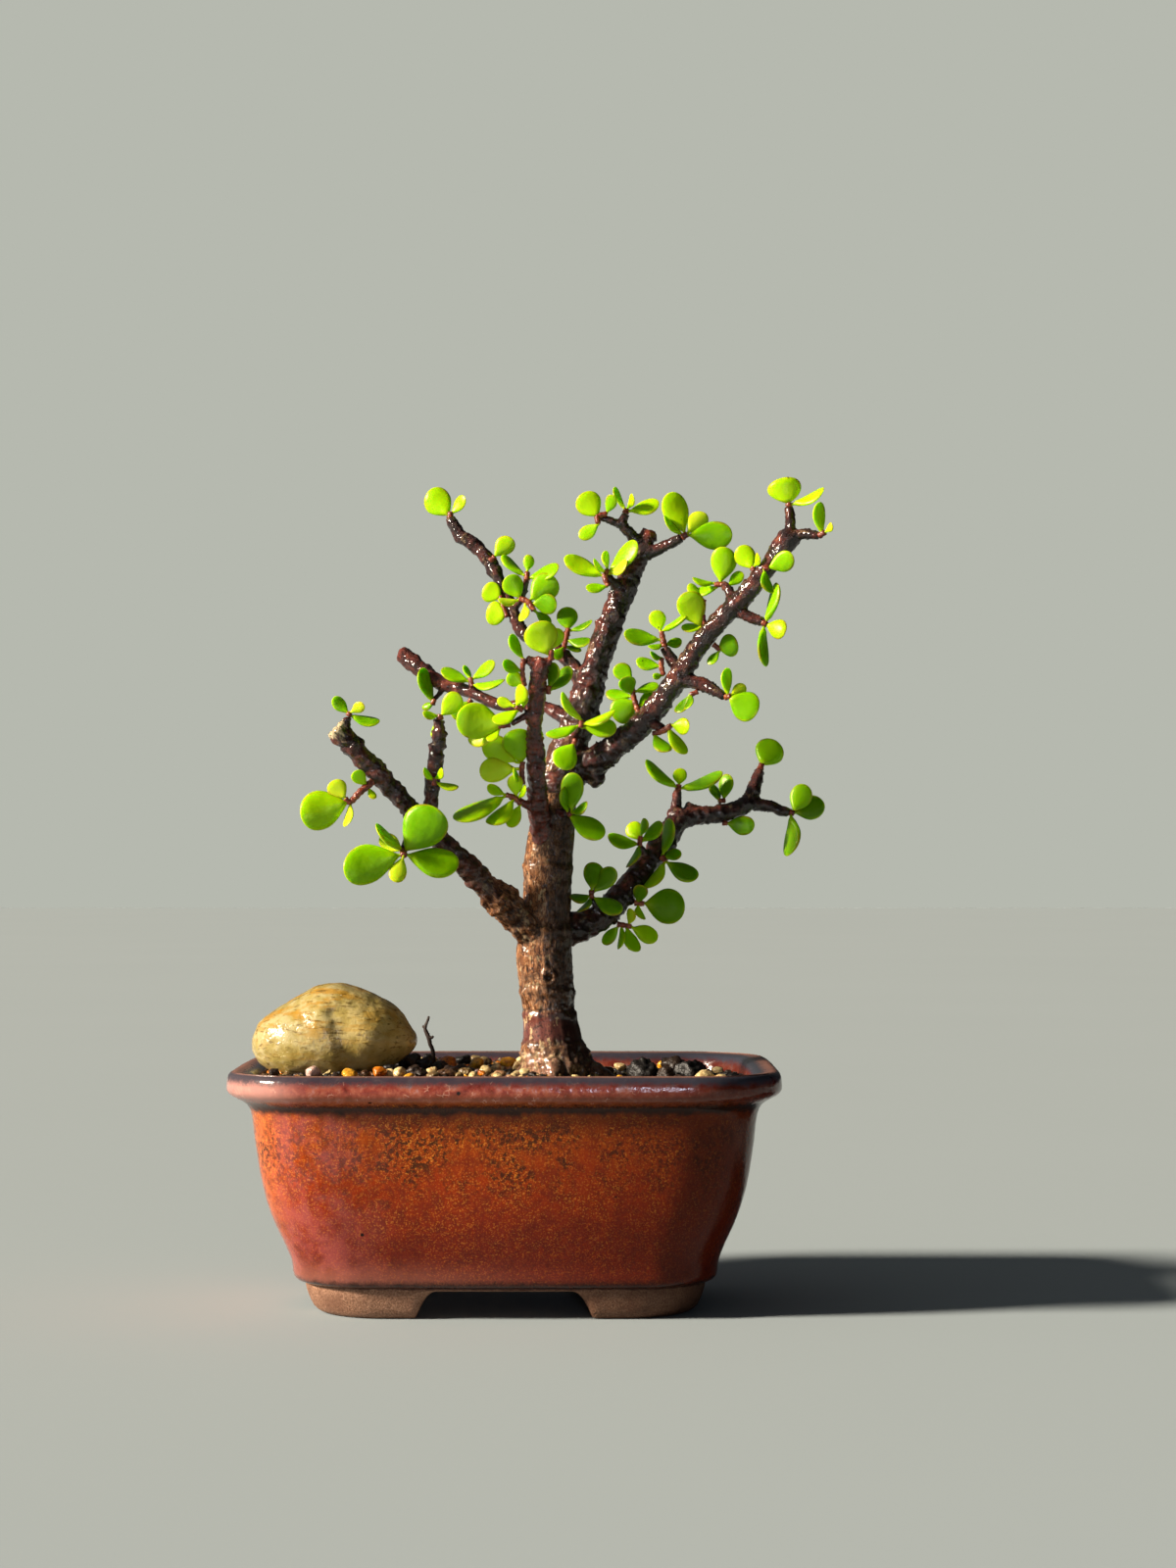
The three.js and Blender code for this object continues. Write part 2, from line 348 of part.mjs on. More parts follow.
// Each shoot has a young stem through [x, z, width, depth], and leaves of
// [root x, root z, tip x, tip z, seen width, how far back the tip goes].
const SHOOTS = [['upperLeft', [
  ['leaves_upper_left_tip', 'lime', [[-15.9, 214.6, 2.2, 16], [-15.9, 216.4, 1.6, 16]], [
    [-16.2, 215.4, -21.5, 222.8, 7.8, 1], [-15.6, 215.8, -11.9, 220.8, 3.2, -3]]],
  ['leaf_upper_left_bend', 'lime', [[-4.8, 202.8, 1.8, 12.4], [-3.4, 204, 1.5, 12]], [
    [-3.6, 204, 1.5, 209, 5.4, -1]]],
  ['leaves_crown_left_high', 'fresh', [[5.4, 197.4, 1.8, 9], [5.6, 199.8, 1.4, 9]], [
    [4.8, 198.8, -0.9, 204.6, 2.8, 3], [5.5, 199.8, 6, 204.6, 3.2, 0],
    [5.8, 198, 14.4, 201.3, 4, -3]]],
  ['leaves_crown_left_low', 'leaf',
    [[3.4, 192.2, 1.6, 8], [5.8, 191.4, 1.8, 7.6], [7.4, 189, 1.5, 7.4]], [
      [6.5, 192, 13.5, 198, 8, -1], [6.9, 191, 13.8, 190.2, 5.8, -2], [3.6, 192.4, 0.3, 198.8, 6, -2],
      [3, 191.8, -2.5, 191.6, 2.5, -4], [5, 190.6, 4.4, 186.2, 3, -4],
      [7.8, 188.8, 12.2, 185.3, 3, 2]]],
  ['leaves_crown_left_outer', 'lime',
    [[-1.9, 193, 1.4, 10.6], [-1.2, 190, 1.5, 10.4], [0, 187.2, 1.4, 10]], [
      [-1.9, 192.4, -6.4, 195.8, 6, 0], [-0.4, 187.6, -6, 188, 6.8, 1]]],
  ['leaves_crown_inner', 'dark', [[17, 183.8, 1.5, 8.2], [16.4, 181, 1.5, 7], [15.8, 178.6, 1.4, 6]], [
    [17, 183.6, 16.5, 190, 6, 0], [17.6, 183.4, 23.7, 186, 1.9, -3],
    [16.6, 180.6, 23.2, 180.4, 3, -3], [16, 179, 20.7, 178, 1.8, 2],
    [15.6, 178.8, 12.8, 175.6, 3.2, -3]]],
]], ['slender', [
  ['leaves_slender_top', 'lime', [[12.2, 175.2, 1.9, -16], [12.2, 178, 1.5, -16.4]], [
    [11.4, 176.6, 8, 185.8, 9.5, 0], [12.2, 178, 14.5, 184, 5, 2]]],
  ['leaves_slender_top_left', 'fresh',
    [[4.6, 175.6, 1.7, -16], [4.2, 172, 1.4, -16.2], [4.8, 168, 1.5, -15.4]], [
      [4.5, 175.4, 1.2, 182.5, 3.2, 2], [4, 172, -1.3, 174.5, 3.5, -2],
      [4.6, 168.2, 0, 171, 4.5, 0]]],
  ['leaves_slender_right', 'dark', [[11.4, 165.8, 1.5, -13.2], [11.6, 168, 1.4, -13.6]], [
    [11.5, 167.4, 13.5, 174.3, 3.8, -2], [11.7, 166.6, 17.5, 173.3, 4.2, 3]]],
  ['leaves_slender_left', 'lime', [[4.3, 161.2, 1.6, -15], [2.2, 162.2, 1.4, -15.4]], [
    [2.4, 162, 4.6, 168, 4, -3], [1.8, 162.4, -2.8, 164.2, 3, 1], [3.2, 161.2, -4, 157.9, 3.8, -3],
    [4.3, 161.8, 5.2, 165.4, 2, 1]]],
  ['leaves_slender_big', 'lime', [[0.8, 157.2, 1.7, -15.2], [-2.6, 156.6, 1.5, -15.6]], [
    [-0.8, 156.9, -14.2, 159, 10.3, -1], [-2.6, 156.2, -11, 153, 5, 4],
    [-2.2, 156, -5.6, 152.6, 2.5, -2]]],
  ['leaves_slender_middle', 'fresh',
    [[4.3, 146.8, 1.6, -11], [4, 144, 1.6, -11], [4.4, 140.6, 1.4, -10.4]], [
      [4, 146.4, 2.5, 156, 8.7, 0], [2.6, 146.6, -6.5, 153, 7.5, 2], [2.8, 144.8, -7.8, 144, 7, -1],
      [3.8, 141.6, 1.8, 144.2, 2.2, -5], [4, 140.6, 2.6, 138.6, 2, -2]]],
  ['leaves_slender_low', 'lime',
    [[-0.4, 137.6, 1.5, -12], [2.4, 136.6, 1.6, -12], [3.6, 134.9, 1.5, -12]], [
      [2.5, 137, 2, 143.2, 4.5, -1], [-0.6, 137.6, -5.5, 140.3, 3, 2],
      [-0.6, 137.2, -15, 130.8, 5.2, -1], [1.8, 136.4, -5.5, 129.5, 4.7, -3],
      [3.6, 134.9, 0.5, 128.5, 4, -1], [3, 136.6, 5.2, 140, 1.8, -3]]],
]], ['trunk', [
  ['leaves_centre_front', 'fresh', [[20.4, 156.4, 1.6, -9.6], [20.8, 158.4, 1.4, -10]], [
    [20.8, 158.3, 15.3, 166.3, 2.5, -1], [21, 157.3, 30, 160.8, 2.7, -4],
    [21, 156.4, 30.5, 156.2, 5.5, 0], [19.8, 156.8, 10.9, 154, 3.2, -3]]],
  ['leaf_centre_round', 'leaf', [[19, 153, 1.6, -5], [18.4, 151.6, 1.4, -5.6]], [
    [18.5, 151.8, 14.5, 145, 7.2, -2]]],
  ['leaves_trunk_twig', 'leaf', [[17, 132, 1.7, -8], [17.8, 132.6, 1.5, -8.4]], [
    [17, 132.6, 15.8, 139.8, 2.6, -2], [18, 132.8, 18, 143.8, 6.5, 1],
    [18, 132.5, 22.4, 135, 2.8, -4], [17, 132, 27, 126, 6.3, -1]]],
  ['leaves_leader_left', 'fresh',
    [[28.2, 195.8, 1.5, -1.2], [27.2, 198.3, 1.7, -0.8], [28, 200.4, 1.4, 0]], [
      [26.8, 198.6, 16, 204, 5, 1], [27.4, 199.6, 24, 203.2, 1.8, -3],
      [28, 200.4, 27.7, 205.7, 2.3, 1], [28.3, 199.8, 36, 208.3, 5, -2],
      [28.3, 199.2, 33.4, 202.6, 3, -4], [28, 195.8, 21.9, 195.2, 2.9, -1]]],
  ['leaves_top_left', 'fresh',
    [[27.8, 216, 1.4, 1.4], [25.2, 215.2, 1.7, 1.4], [25.4, 213.2, 1.4, 0.6]], [
      [25.3, 215.2, 20.5, 221.5, 7.3, 0], [27.6, 216, 29.3, 221.3, 3.4, -2],
      [25.6, 213.2, 20, 209.3, 4, 1]]],
  ['leaves_top_middle', 'lime', [[32.9, 216, 2, 3], [33.3, 217.4, 1.5, 3]], [
    [32.9, 217.2, 30.2, 223.5, 2, 2], [33.4, 217.3, 34.9, 221.4, 2, -3],
    [33.9, 216.7, 42.3, 219.3, 4.3, 0]]],
  ['leaves_top_right', 'fresh', [[48.7, 209.4, 2.2, 1], [50.2, 210.3, 1.7, 0.6]], [
    [49.6, 210.4, 45.5, 222, 7.3, 1], [48.8, 210.2, 43.7, 215.4, 2, -3],
    [50.3, 210.5, 55.5, 216, 5.5, 2], [50.2, 210, 62.8, 210, 8, -1]]],
]], ['right', [
  ['leaves_far_right_top', 'fresh', [[78.4, 218, 2, -9], [78.7, 219.2, 1.6, -9]], [
    [78.3, 218.8, 77.5, 226.2, 9.5, 0], [79.3, 218.6, 88.4, 223, 2.9, -2]]],
  ['leaves_far_right_tip', 'leaf', [[87, 209.8, 1.9, -12.8], [88.6, 210.8, 1.6, -13.4]], [
    [87.9, 210.2, 87.3, 219.3, 3.6, 1], [88.6, 210.8, 90.6, 213.2, 2, -2]]],
  ['leaves_right_front', 'leaf', [[72.9, 201, 1.6, -12.2], [71.4, 200.6, 1.6, -12.4]], [
    [72.7, 200.8, 79.8, 204.2, 5.8, -2], [71.7, 200.6, 73.8, 193.8, 3, -2]]],
  ['leaves_right_back', 'lime', [[68.5, 200, 1.7, -9], [68.7, 201.3, 1.5, -9]], [
    [68.4, 200.6, 64.8, 207, 6, 2], [68.9, 201.2, 70, 204.8, 2, -3]]],
  ['leaves_right_middle', 'leaf', [[71.2, 185.7, 2, -10], [72.4, 185, 1.7, -10.4]], [
    [72, 185.6, 75, 196.8, 3.2, 2], [71.6, 184.8, 72, 173.3, 3.2, -2],
    [72.2, 185, 77.6, 182.8, 5.6, -3]]],
  ['leaves_right_inner', 'fresh',
    [[62, 195.4, 1.4, -3.4], [60.2, 196.2, 1.8, -3.2], [57.8, 196.2, 1.4, -3]], [
      [59.4, 196.6, 60.5, 206.8, 7.3, 1], [57.8, 196.6, 51.6, 198, 2, -2],
      [58.6, 195.6, 52.3, 194.6, 2.8, 3], [61.6, 195.8, 65.6, 199.7, 3.4, 2]]],
  ['leaves_right_left', 'lime',
    [[55, 184.4, 1.8, -4.2], [54.5, 188, 1.5, -4], [54.9, 192, 1.3, -4]], [
      [54.2, 184.4, 49.4, 194, 8, -2], [54.8, 191.8, 51, 196.6, 3, 3],
      [54.6, 184.4, 48.6, 184.6, 2.6, 2]]],
  ['leaves_fork_upper', 'leaf', [[43.8, 178.8, 2, -2], [43.4, 181, 1.7, -1.8], [43, 183.2, 1.4, -1.6]], [
    [43.2, 183.2, 51.2, 189, 2, -2], [42.8, 180.8, 32.5, 182.5, 4.7, -2],
    [42.8, 183.2, 41, 189, 4.8, 1], [44.1, 179.6, 48.6, 180.8, 3, 3],
    [43.2, 179.6, 39.6, 178.6, 2, -4]]],
  ['leaves_fork_lower', 'leaf', [[43.1, 175.8, 1.4, -4.4], [43, 173.2, 1.6, -4.6], [43.6, 170.9, 1.4, -5]], [
    [43, 175.6, 40, 176.8, 2, -4], [42.8, 173.4, 36, 175.3, 3.6, 1],
    [43.4, 171, 40.6, 170.4, 2, -2]]],
  ['leaves_between', 'leaf', [[36.7, 160.5, 1.8, -1.4], [35.2, 165, 1.6, 0], [34.8, 169.4, 1.4, 1]], [
    [34.8, 169.4, 30, 173.5, 5, 1], [34.6, 165.6, 32.6, 170.4, 5, -4], [35.6, 166.4, 42, 168.6, 3, 3],
    [36.4, 161.8, 40.4, 166.6, 3.6, 3], [34.8, 165, 27.6, 166.4, 3.5, 3],
    [35.4, 163.8, 30, 158.5, 7.5, -1]]],
  ['leaves_right_low', 'dark', [[60.7, 164.8, 1.9, -9.8], [62.4, 165.1, 1.6, -10.2]], [
    [61.6, 165.2, 61.6, 173, 3.2, 2], [62.4, 165.4, 66.5, 168, 3.8, 3],
    [61.8, 164.8, 69.5, 160, 8.5, -2]]],
  ['leaves_right_under', 'leaf', [[57.4, 179.6, 1.6, -6.6], [59.4, 178, 1.5, -6.6]], [
    [59, 178.4, 64.3, 180, 6.5, 0], [59.2, 177.8, 56, 174, 2.5, -1]]],
  ['leaves_right_notch', 'dark', [[53.2, 166.4, 1.5, -7.6], [51, 165.4, 1.4, -8]], [
    [51.4, 165.6, 49.8, 161.4, 2, -3], [51, 165.5, 46.8, 160.6, 2.8, -1]]],
  ['leaves_bent_twig', 'leaf',
    [[40.6, 154.6, 1.5, -8], [43.4, 155.4, 1.8, -8.4], [45.8, 157, 1.5, -8.8]], [
      [44.6, 156.4, 50, 149, 3.7, 0], [45.8, 157, 50.8, 156.5, 4.8, -3],
      [40.7, 154.6, 45, 149.6, 4, -4]]],
]], ['farLeft', [
  ['leaves_far_left_back', 'fresh', [[-10.3, 170, 1.6, 8.8], [-9.8, 167.6, 1.4, 8]], [
    [-10.6, 169.2, -18.3, 172.8, 3.6, -1], [-10.4, 170, -11.5, 173.6, 2, 3],
    [-9.9, 169.8, -3.6, 174.8, 3.5, 0], [-9.6, 168.2, -1, 169.3, 2.6, -3]]],
  ['leaf_far_left_hanging', 'leaf', [[-10, 164.2, 1.6, 10.2], [-10.8, 163.2, 1.4, 10]], [
    [-10.6, 163.6, -15, 158.8, 5, -1]]],
  ['leaves_far_left_twig', 'leaf', [[-20.5, 164.1, 1.6, 9.8], [-20.8, 162.7, 1.4, 9.4]], [
    [-20.7, 163.3, -23.7, 173, 4.1, -2], [-20.6, 163, -23.8, 161.8, 2.2, 1]]],
]], ['left', [
  ['leaves_upright_top', 'lime', [[-18.8, 158.6, 2.2, -8], [-18.8, 160, 1.6, -8]], [
    [-18.5, 159.6, -13.5, 165.8, 6, 0], [-19.2, 159.6, -23.6, 160.2, 2.5, -2],
    [-19, 159.2, -21.4, 154.2, 2, 4]]],
  ['leaves_upright_middle', 'lime', [[-20.4, 140.2, 1.6, -12.6], [-20.4, 142.2, 1.4, -12.6]], [
    [-20.6, 141.6, -23.4, 144.8, 2, -2], [-20.2, 142, -18, 144.6, 2.3, -3],
    [-20, 141, -13.6, 139.7, 2.2, -1]]],
  ['leaves_left_outer', 'lime',
    [[-37.4, 141.4, 2.2, -13.6], [-41, 138.4, 2, -14.8], [-43.8, 135.6, 1.8, -14.8],
      [-45.2, 136.6, 1.4, -15]], [
      [-44.2, 135.6, -57.5, 131, 11, -1], [-45.2, 136.6, -49.5, 141, 5.5, 1],
      [-43.8, 135.2, -45.3, 128.7, 2.4, -3], [-39.2, 140, -43, 143.9, 4, -2],
      [-38.8, 139.6, -37, 136.4, 2.2, -2]]],
  ['leaves_left_cut_end', 'leaf', [[-44.4, 159.5, 1.7, -13.6], [-43.9, 160.6, 1.5, -13.6]], [
    [-44.2, 160.2, -48.5, 164.8, 3.7, 1], [-43.8, 160.4, -40, 162.8, 3.2, -2],
    [-43.9, 159.8, -35.6, 158, 3.1, -2]]],
  ['leaves_left_front', 'dark', [[-29, 122, 2, -19], [-28.9, 120.6, 1.8, -22.4]], [
    [-28.6, 121.8, -18.5, 133, 12.5, -2], [-28.4, 121, -13.5, 118.5, 8.5, 1],
    [-29.4, 120.8, -45.5, 115.5, 11, -1], [-29.3, 121.8, -35.5, 126, 5, 4],
    [-29, 120.4, -31.4, 113.2, 5, -2], [-29.2, 122.2, -36.8, 129, 3, -3]]],
]], ['lowerRight', [
  ['leaves_lower_right_twig', 'leaf', [[47.6, 138.8, 1.9, 9], [47.9, 140.4, 1.5, 8.8]], [
    [47.4, 139.6, 38.6, 147.3, 3.3, -2], [47.9, 140.4, 48.5, 145, 4, 1],
    [48.2, 139.4, 60, 144, 3.6, -2]]],
  ['leaves_lower_right_back', 'dark', [[59, 135.8, 1.5, 11], [60.6, 136, 1.4, 11.4]], [
    [60.3, 136.2, 61, 143.4, 4.2, 1], [59.2, 136, 57.3, 140.6, 2.8, 4]]],
  ['leaf_lower_right_under', 'leaf', [[60, 129.8, 1.6, 10.4], [61.4, 129.6, 1.4, 10.2]], [
    [61, 129.7, 69, 129, 5.5, -2]]],
  ['leaf_lower_right_top', 'leaf', [[70.5, 144.6, 2, 12], [71, 146.2, 1.6, 12]], [
    [70.9, 145.9, 75, 152.7, 8.3, 0]]],
  ['leaves_lower_right_end', 'dark', [[78.6, 132.8, 2, 10], [80, 132.4, 1.6, 9.8]], [
    [79.7, 132.7, 83.3, 140.4, 6.2, -1], [80, 132.5, 88.5, 135, 7, 2],
    [79, 132.2, 78.3, 120.5, 4.6, -2]]],
  ['leaves_lower_right_inner', 'leaf', [[36.8, 123.3, 1.7, 3.8], [37.2, 126, 1.4, 3.4]], [
    [36.8, 123.8, 28, 126, 4, -1], [36.9, 125, 34.6, 130, 5, 2], [37.2, 126, 38.5, 131, 2.5, -3],
    [37.2, 124.4, 43, 130, 3.8, -3], [36.8, 123.4, 33.6, 117.4, 2.2, -3]]],
  ['leaves_lower_right_front', 'dark', [[43, 120.3, 1.8, 3.8], [44.2, 119, 1.5, 3.2]], [
    [43.3, 120.8, 45.4, 131, 3.7, -4], [43.8, 120, 48.4, 121.8, 3.5, 2],
    [44.2, 119, 53.3, 114.8, 5.2, -1], [43.9, 118.8, 38.5, 111.4, 3.4, -3]]],
  ['leaves_lower_right_dark', 'dark', [[35.4, 107.4, 1.7, 1.4], [38.2, 107.2, 1.6, 0.6]], [
    [38.2, 107.3, 49.5, 105.5, 10, -1], [36.4, 107, 37.4, 112.4, 4.2, -4],
    [36.4, 107, 37.8, 102.8, 2.4, -4]]],
  ['leaves_lower_right_low', 'fresh', [[30.6, 101.5, 1.7, 2.6], [34.6, 100.8, 1.5, 1.8]], [
    [33.8, 101.2, 34.6, 105.8, 2.8, -3], [34.6, 100.7, 42, 97.5, 5, 1],
    [33.2, 100.8, 36.5, 93.8, 4, -3], [31.8, 101, 31, 94.5, 2, -2],
    [31, 101, 26.6, 96, 3.5, 2]]],
  ['leaves_trunk_right', 'dark', [[23.4, 108.8, 1.7, -1.6], [23.5, 111, 1.5, -3]], [
    [23.8, 109, 32, 105, 4.8, -3], [23.5, 111, 24, 118.8, 6, 0], [23.8, 110.2, 30, 117, 5.5, -3],
    [23.2, 109.4, 17.7, 108.5, 3.2, -4], [23.3, 108.9, 19.9, 104.9, 2, -3]]],
]]];

// A fleshy blade by share of its length: [share, half width, half thickness].
const BLADE = [[0.36, 0.76, 1], [0.75, 1, 1]];
const BLADE_SPREAD = 0.62;          // a full leaf's width over its length
const NECK = 0.45;                  // half thickness of the short leaf stalk
const BLADE_CURVE = 0.07;           // how far the middle bows, over the length

// The point of a young stem nearest to a leaf's root, as seen from the front.
function nearestOn(path, x, z) {
  let best = null;
  for (let i = 0; i + 1 < path.length; i += 1) {
    const [x0, z0, , d0] = path[i];
    const [x1, z1, , d1] = path[i + 1];
    const run = ((x - x0) * (x1 - x0) + (z - z0) * (z1 - z0)) / ((x1 - x0) ** 2 + (z1 - z0) ** 2);
    const share = Math.min(0.92, Math.max(0.08, run));
    const at = [x0 + share * (x1 - x0), z0 + share * (z1 - z0), d0 + share * (d1 - d0)];
    const far = Math.hypot(x - at[0], z - at[1]);
    if (!best || far < best.far) {
      best = { far, at };
    }
  }
  return best.at;
}

// A leaf keeps its natural width and is turned on its own axis until it looks as narrow as seen.
function leaf(path, [rootX, rootZ, tipX, tipZ, width, back], branch, extra) {
  const [stemX, stemZ, depth] = nearestOn(path, rootX, rootZ);
  const foot = place(stemX, stemZ, depth, branch);
  const root = place(rootX, rootZ, depth, branch);
  const tip = place(tipX, tipZ, depth + back, branch);
  const axis = tip.clone().sub(root);
  const length = axis.length();
  axis.normalize();
  const seen = width * (1 - root.y / EYE.y);
  const wide = Math.max(seen, BLADE_SPREAD * length);
  const turn = Math.acos(Math.min(1, seen / wide));
  const sight = EYE.clone().sub(root).normalize();
  const facing = sight.addScaledVector(axis, -sight.dot(axis)).normalize();
  const across = axis.clone().cross(facing);
  const upward = across.z >= 0 ? 1 : -1;
  const normal = facing.clone().multiplyScalar(Math.cos(turn))
    .addScaledVector(across, upward * Math.sin(turn));
  const sideways = axis.clone().cross(normal);
  const thick = Math.min(BLADE_FATTEST, Math.max(BLADE_SLIMMEST, 0.16 * wide)) / 2;

  const ring = (centre, halfWide, halfThick) => [
    centre.clone().addScaledVector(sideways, halfWide + extra),
    centre.clone().addScaledVector(normal, -halfThick - extra),
    centre.clone().addScaledVector(sideways, -halfWide - extra),
    centre.clone().addScaledVector(normal, halfThick + extra),
  ];
  const along = (share) => root.clone().addScaledVector(axis, share * length)
    .addScaledVector(normal, -BLADE_CURVE * length * 4 * share * (1 - share));
  const rings = [ring(foot, NECK, NECK)];
  for (const [share, halfWide, halfThick] of BLADE) {
    rings.push(ring(along(share), Math.max(NECK, (halfWide * wide) / 2),
      Math.max(NECK, halfThick * thick)));
  }
  rings.push(ring(along(1).addScaledVector(axis, extra), wide * 0.24, NECK * 0.8));
  return loft(rings);
}

function makeShoot(path, leaves, branch, extra = 0) {
  const blades = leaves.map((row) => leaf(path, row, branch, extra));
  return joined([stem(path, 4, branch, extra), ...blades]);
}

function overlap(a, b) {
  return [0, 1, 2].every((k) => a.min[k] < b.max[k] && b.min[k] < a.max[k]);
}

// Stone, stalk and soil

// A rounded, slightly square pebble with a shallow valley running down its front.
function makeStone(extra) {
  const shape = new THREE.SphereGeometry(1, 16, 11).rotateX(Math.PI / 2);
  const points = shape.attributes.position;
  const way = new THREE.Vector3();
  for (let i = 0; i < points.count; i += 1) {
    way.fromBufferAttribute(points, i);
    const squared = [way.x, way.y, way.z].reduce((sum, part) => sum + Math.abs(part) ** 2.3, 0);
    let reach = 1 / squared ** (1 / 2.3);
    const valley = way.x - 0.22 + 0.35 * way.z;
    reach *= 1 - 0.05 * Math.exp(-((valley / 0.18) ** 2)) * (way.z > -0.3 && way.y < 0.4 ? 1 : 0);
    reach *= 1 - 0.17 * Math.exp(-((way.x + 0.72) ** 2 + (way.z - 0.68) ** 2) / 0.16);
    reach *= 1 + 0.02 * Math.sin(3 * way.x + 1) - 0.02 * Math.cos(4 * way.y + 2 * way.z);
    points.setXYZ(
      i,
      STONE_CENTRE[0] + way.x * (reach * STONE_HALF[0] + extra),
      STONE_CENTRE[1] + way.y * (reach * STONE_HALF[1] + extra),
      STONE_CENTRE[2] + way.z * (reach * STONE_HALF[2] + extra) - 1.5 * way.x,
    );
  }
  return solidOf(shape);
}

const STALK_PATH = [[-20.9, 55, 0.9, 14], [-20.7, 65.7, 1.1, 14], [-21.5, 68, 1.1, 14],
  [-22.9, 72.2, 1, 14], [-21.8, 75.8, 0.8, 14]];

// The soil's surface: nearly level with the rim on the left, lower on the right.
function soilTop(x, y) {
  return 60 - 1.5 * Math.tanh((x - 8) / 25) - 0.4 * (x / 66) ** 2
    + 0.9 * Math.exp(-(((x - 13) / 16) ** 2 + (y / 16) ** 2))
    + 0.3 * Math.sin(x * 0.31) * Math.cos(y * 0.37);
}

// Gravel on the soil: [x, y, radius].
const GRAVEL = [
  [-10.4, 3, 2.3], [-3.9, 12, 2.2], [-16.8, 20, 2], [-50.9, -29, 2.2], [-40.2, -33, 2.2],
  [-31, -30, 2.2], [51.5, 14, 2.5], [55.6, 2, 2], [38.3, 14, 2.8], [42, -2, 2.5], [44, 32, 2.6],
  [-8, -24, 2], [30, -26, 2.2], [-38, 30, 2.3],
];

function makeSoil(holes) {
  const wall = (z) => {
    const half = potWallInside(z);
    return potRing(z, half - 1.5 * GAP, cornerRadius(half) - 4);
  };
  const bottom = potRing(POT_FLOOR + GAP, FLOOR_HALF - 2 * GAP, 12);
  const rim = wall(58);
  const shares = [1, 0.84, 0.62, 0.38, 0.12];
  const top = shares.map((share) => rim.map((p) => {
    const x = p.x * share;
    const y = p.y * share;
    return new THREE.Vector3(x, y, soilTop(x, y));
  }));
  let soil = loft([bottom, wall(12), wall(30), wall(50), ...top]);
  for (const [x, y, radius] of GRAVEL) {
    const grain = new THREE.IcosahedronGeometry(radius, 0);
    grain.scale(1, 0.9, 0.75).rotateZ(x + y).translate(x, y, soilTop(x, y) + radius * 0.2);
    soil = soil.add(solidOf(grain));
  }
  for (const x of DRAIN_HOLES) {
    const side = MESH_SIDE + 2 * GAP;
    const pocket = new THREE.BoxGeometry(side, side, 2 * (MESH_THICK + 2 * GAP));
    soil = soil.subtract(solidOf(pocket.translate(x, 0, POT_FLOOR)));
  }
  return holes.reduce((whole, hole) => whole.subtract(hole), soil);
}

// The whole object

const pot = new THREE.Group();
pot.add(meshOf('pot', makePot(), GLAZE));
pot.add(meshOf('drainage_mesh_left', makeDrainMesh(DRAIN_HOLES[0]), NET));
pot.add(meshOf('drainage_mesh_right', makeDrainMesh(DRAIN_HOLES[1]), NET));

const planting = new THREE.Group();
const woodWithGap = makeWood(GAP);
const stalk = (extra) => stem(STALK_PATH, 6, LEANS.trunk, extra);
const groundHoles = [woodWithGap, makeStone(GAP), stalk(GAP)];
planting.add(meshOf('soil', makeSoil(groundHoles), EARTH));
planting.add(meshOf('river_stone', makeStone(0), STONE));
planting.add(meshOf('dry_stalk', stalk(0), STALK));

const tree = new THREE.Group();
tree.add(meshOf('trunk_and_branches', makeWood(0), BARK));
const grown = [];
for (const [branch, shoots] of SHOOTS) {
  for (const [name, green, path, leaves] of shoots) {
    let shoot = makeShoot(path, leaves, LEANS[branch]).subtract(woodWithGap);
    const box = shoot.boundingBox();
    for (const other of grown) {
      if (overlap(box, other.box)) {
        shoot = shoot.subtract(other.solid);
      }
    }
    const roomy = makeShoot(path, leaves, LEANS[branch], GAP);
    grown.push({ solid: roomy, box: roomy.boundingBox() });
    tree.add(meshOf(name, shoot, GREENS[green]));
  }
}
planting.add(tree);

// The origin is under the middle of the whole object's box, on the table.
const bonsai = new THREE.Group();
bonsai.add(pot, planting);
const bounds = new THREE.Box3().setFromObject(bonsai);
const middle = bounds.getCenter(new THREE.Vector3());
bonsai.position.set(-middle.x, -middle.y, -bounds.min.z);

const group = new THREE.Group();
group.add(bonsai);

export default group;
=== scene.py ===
# A small jade bonsai in a glazed rectangular clay pot, with a river stone on its grit.
# Lengths are written in millimetres round the middle of the pot: +X to the right of the
# front, +Y to the back, +Z up. The feet stand at TABLE. A piece becomes metres in the
# frame's own place when its mesh is made.

import json
import math
import random
from functools import partial

import bmesh
import bpy
import numpy as np
from mathutils import Matrix, Vector, noise

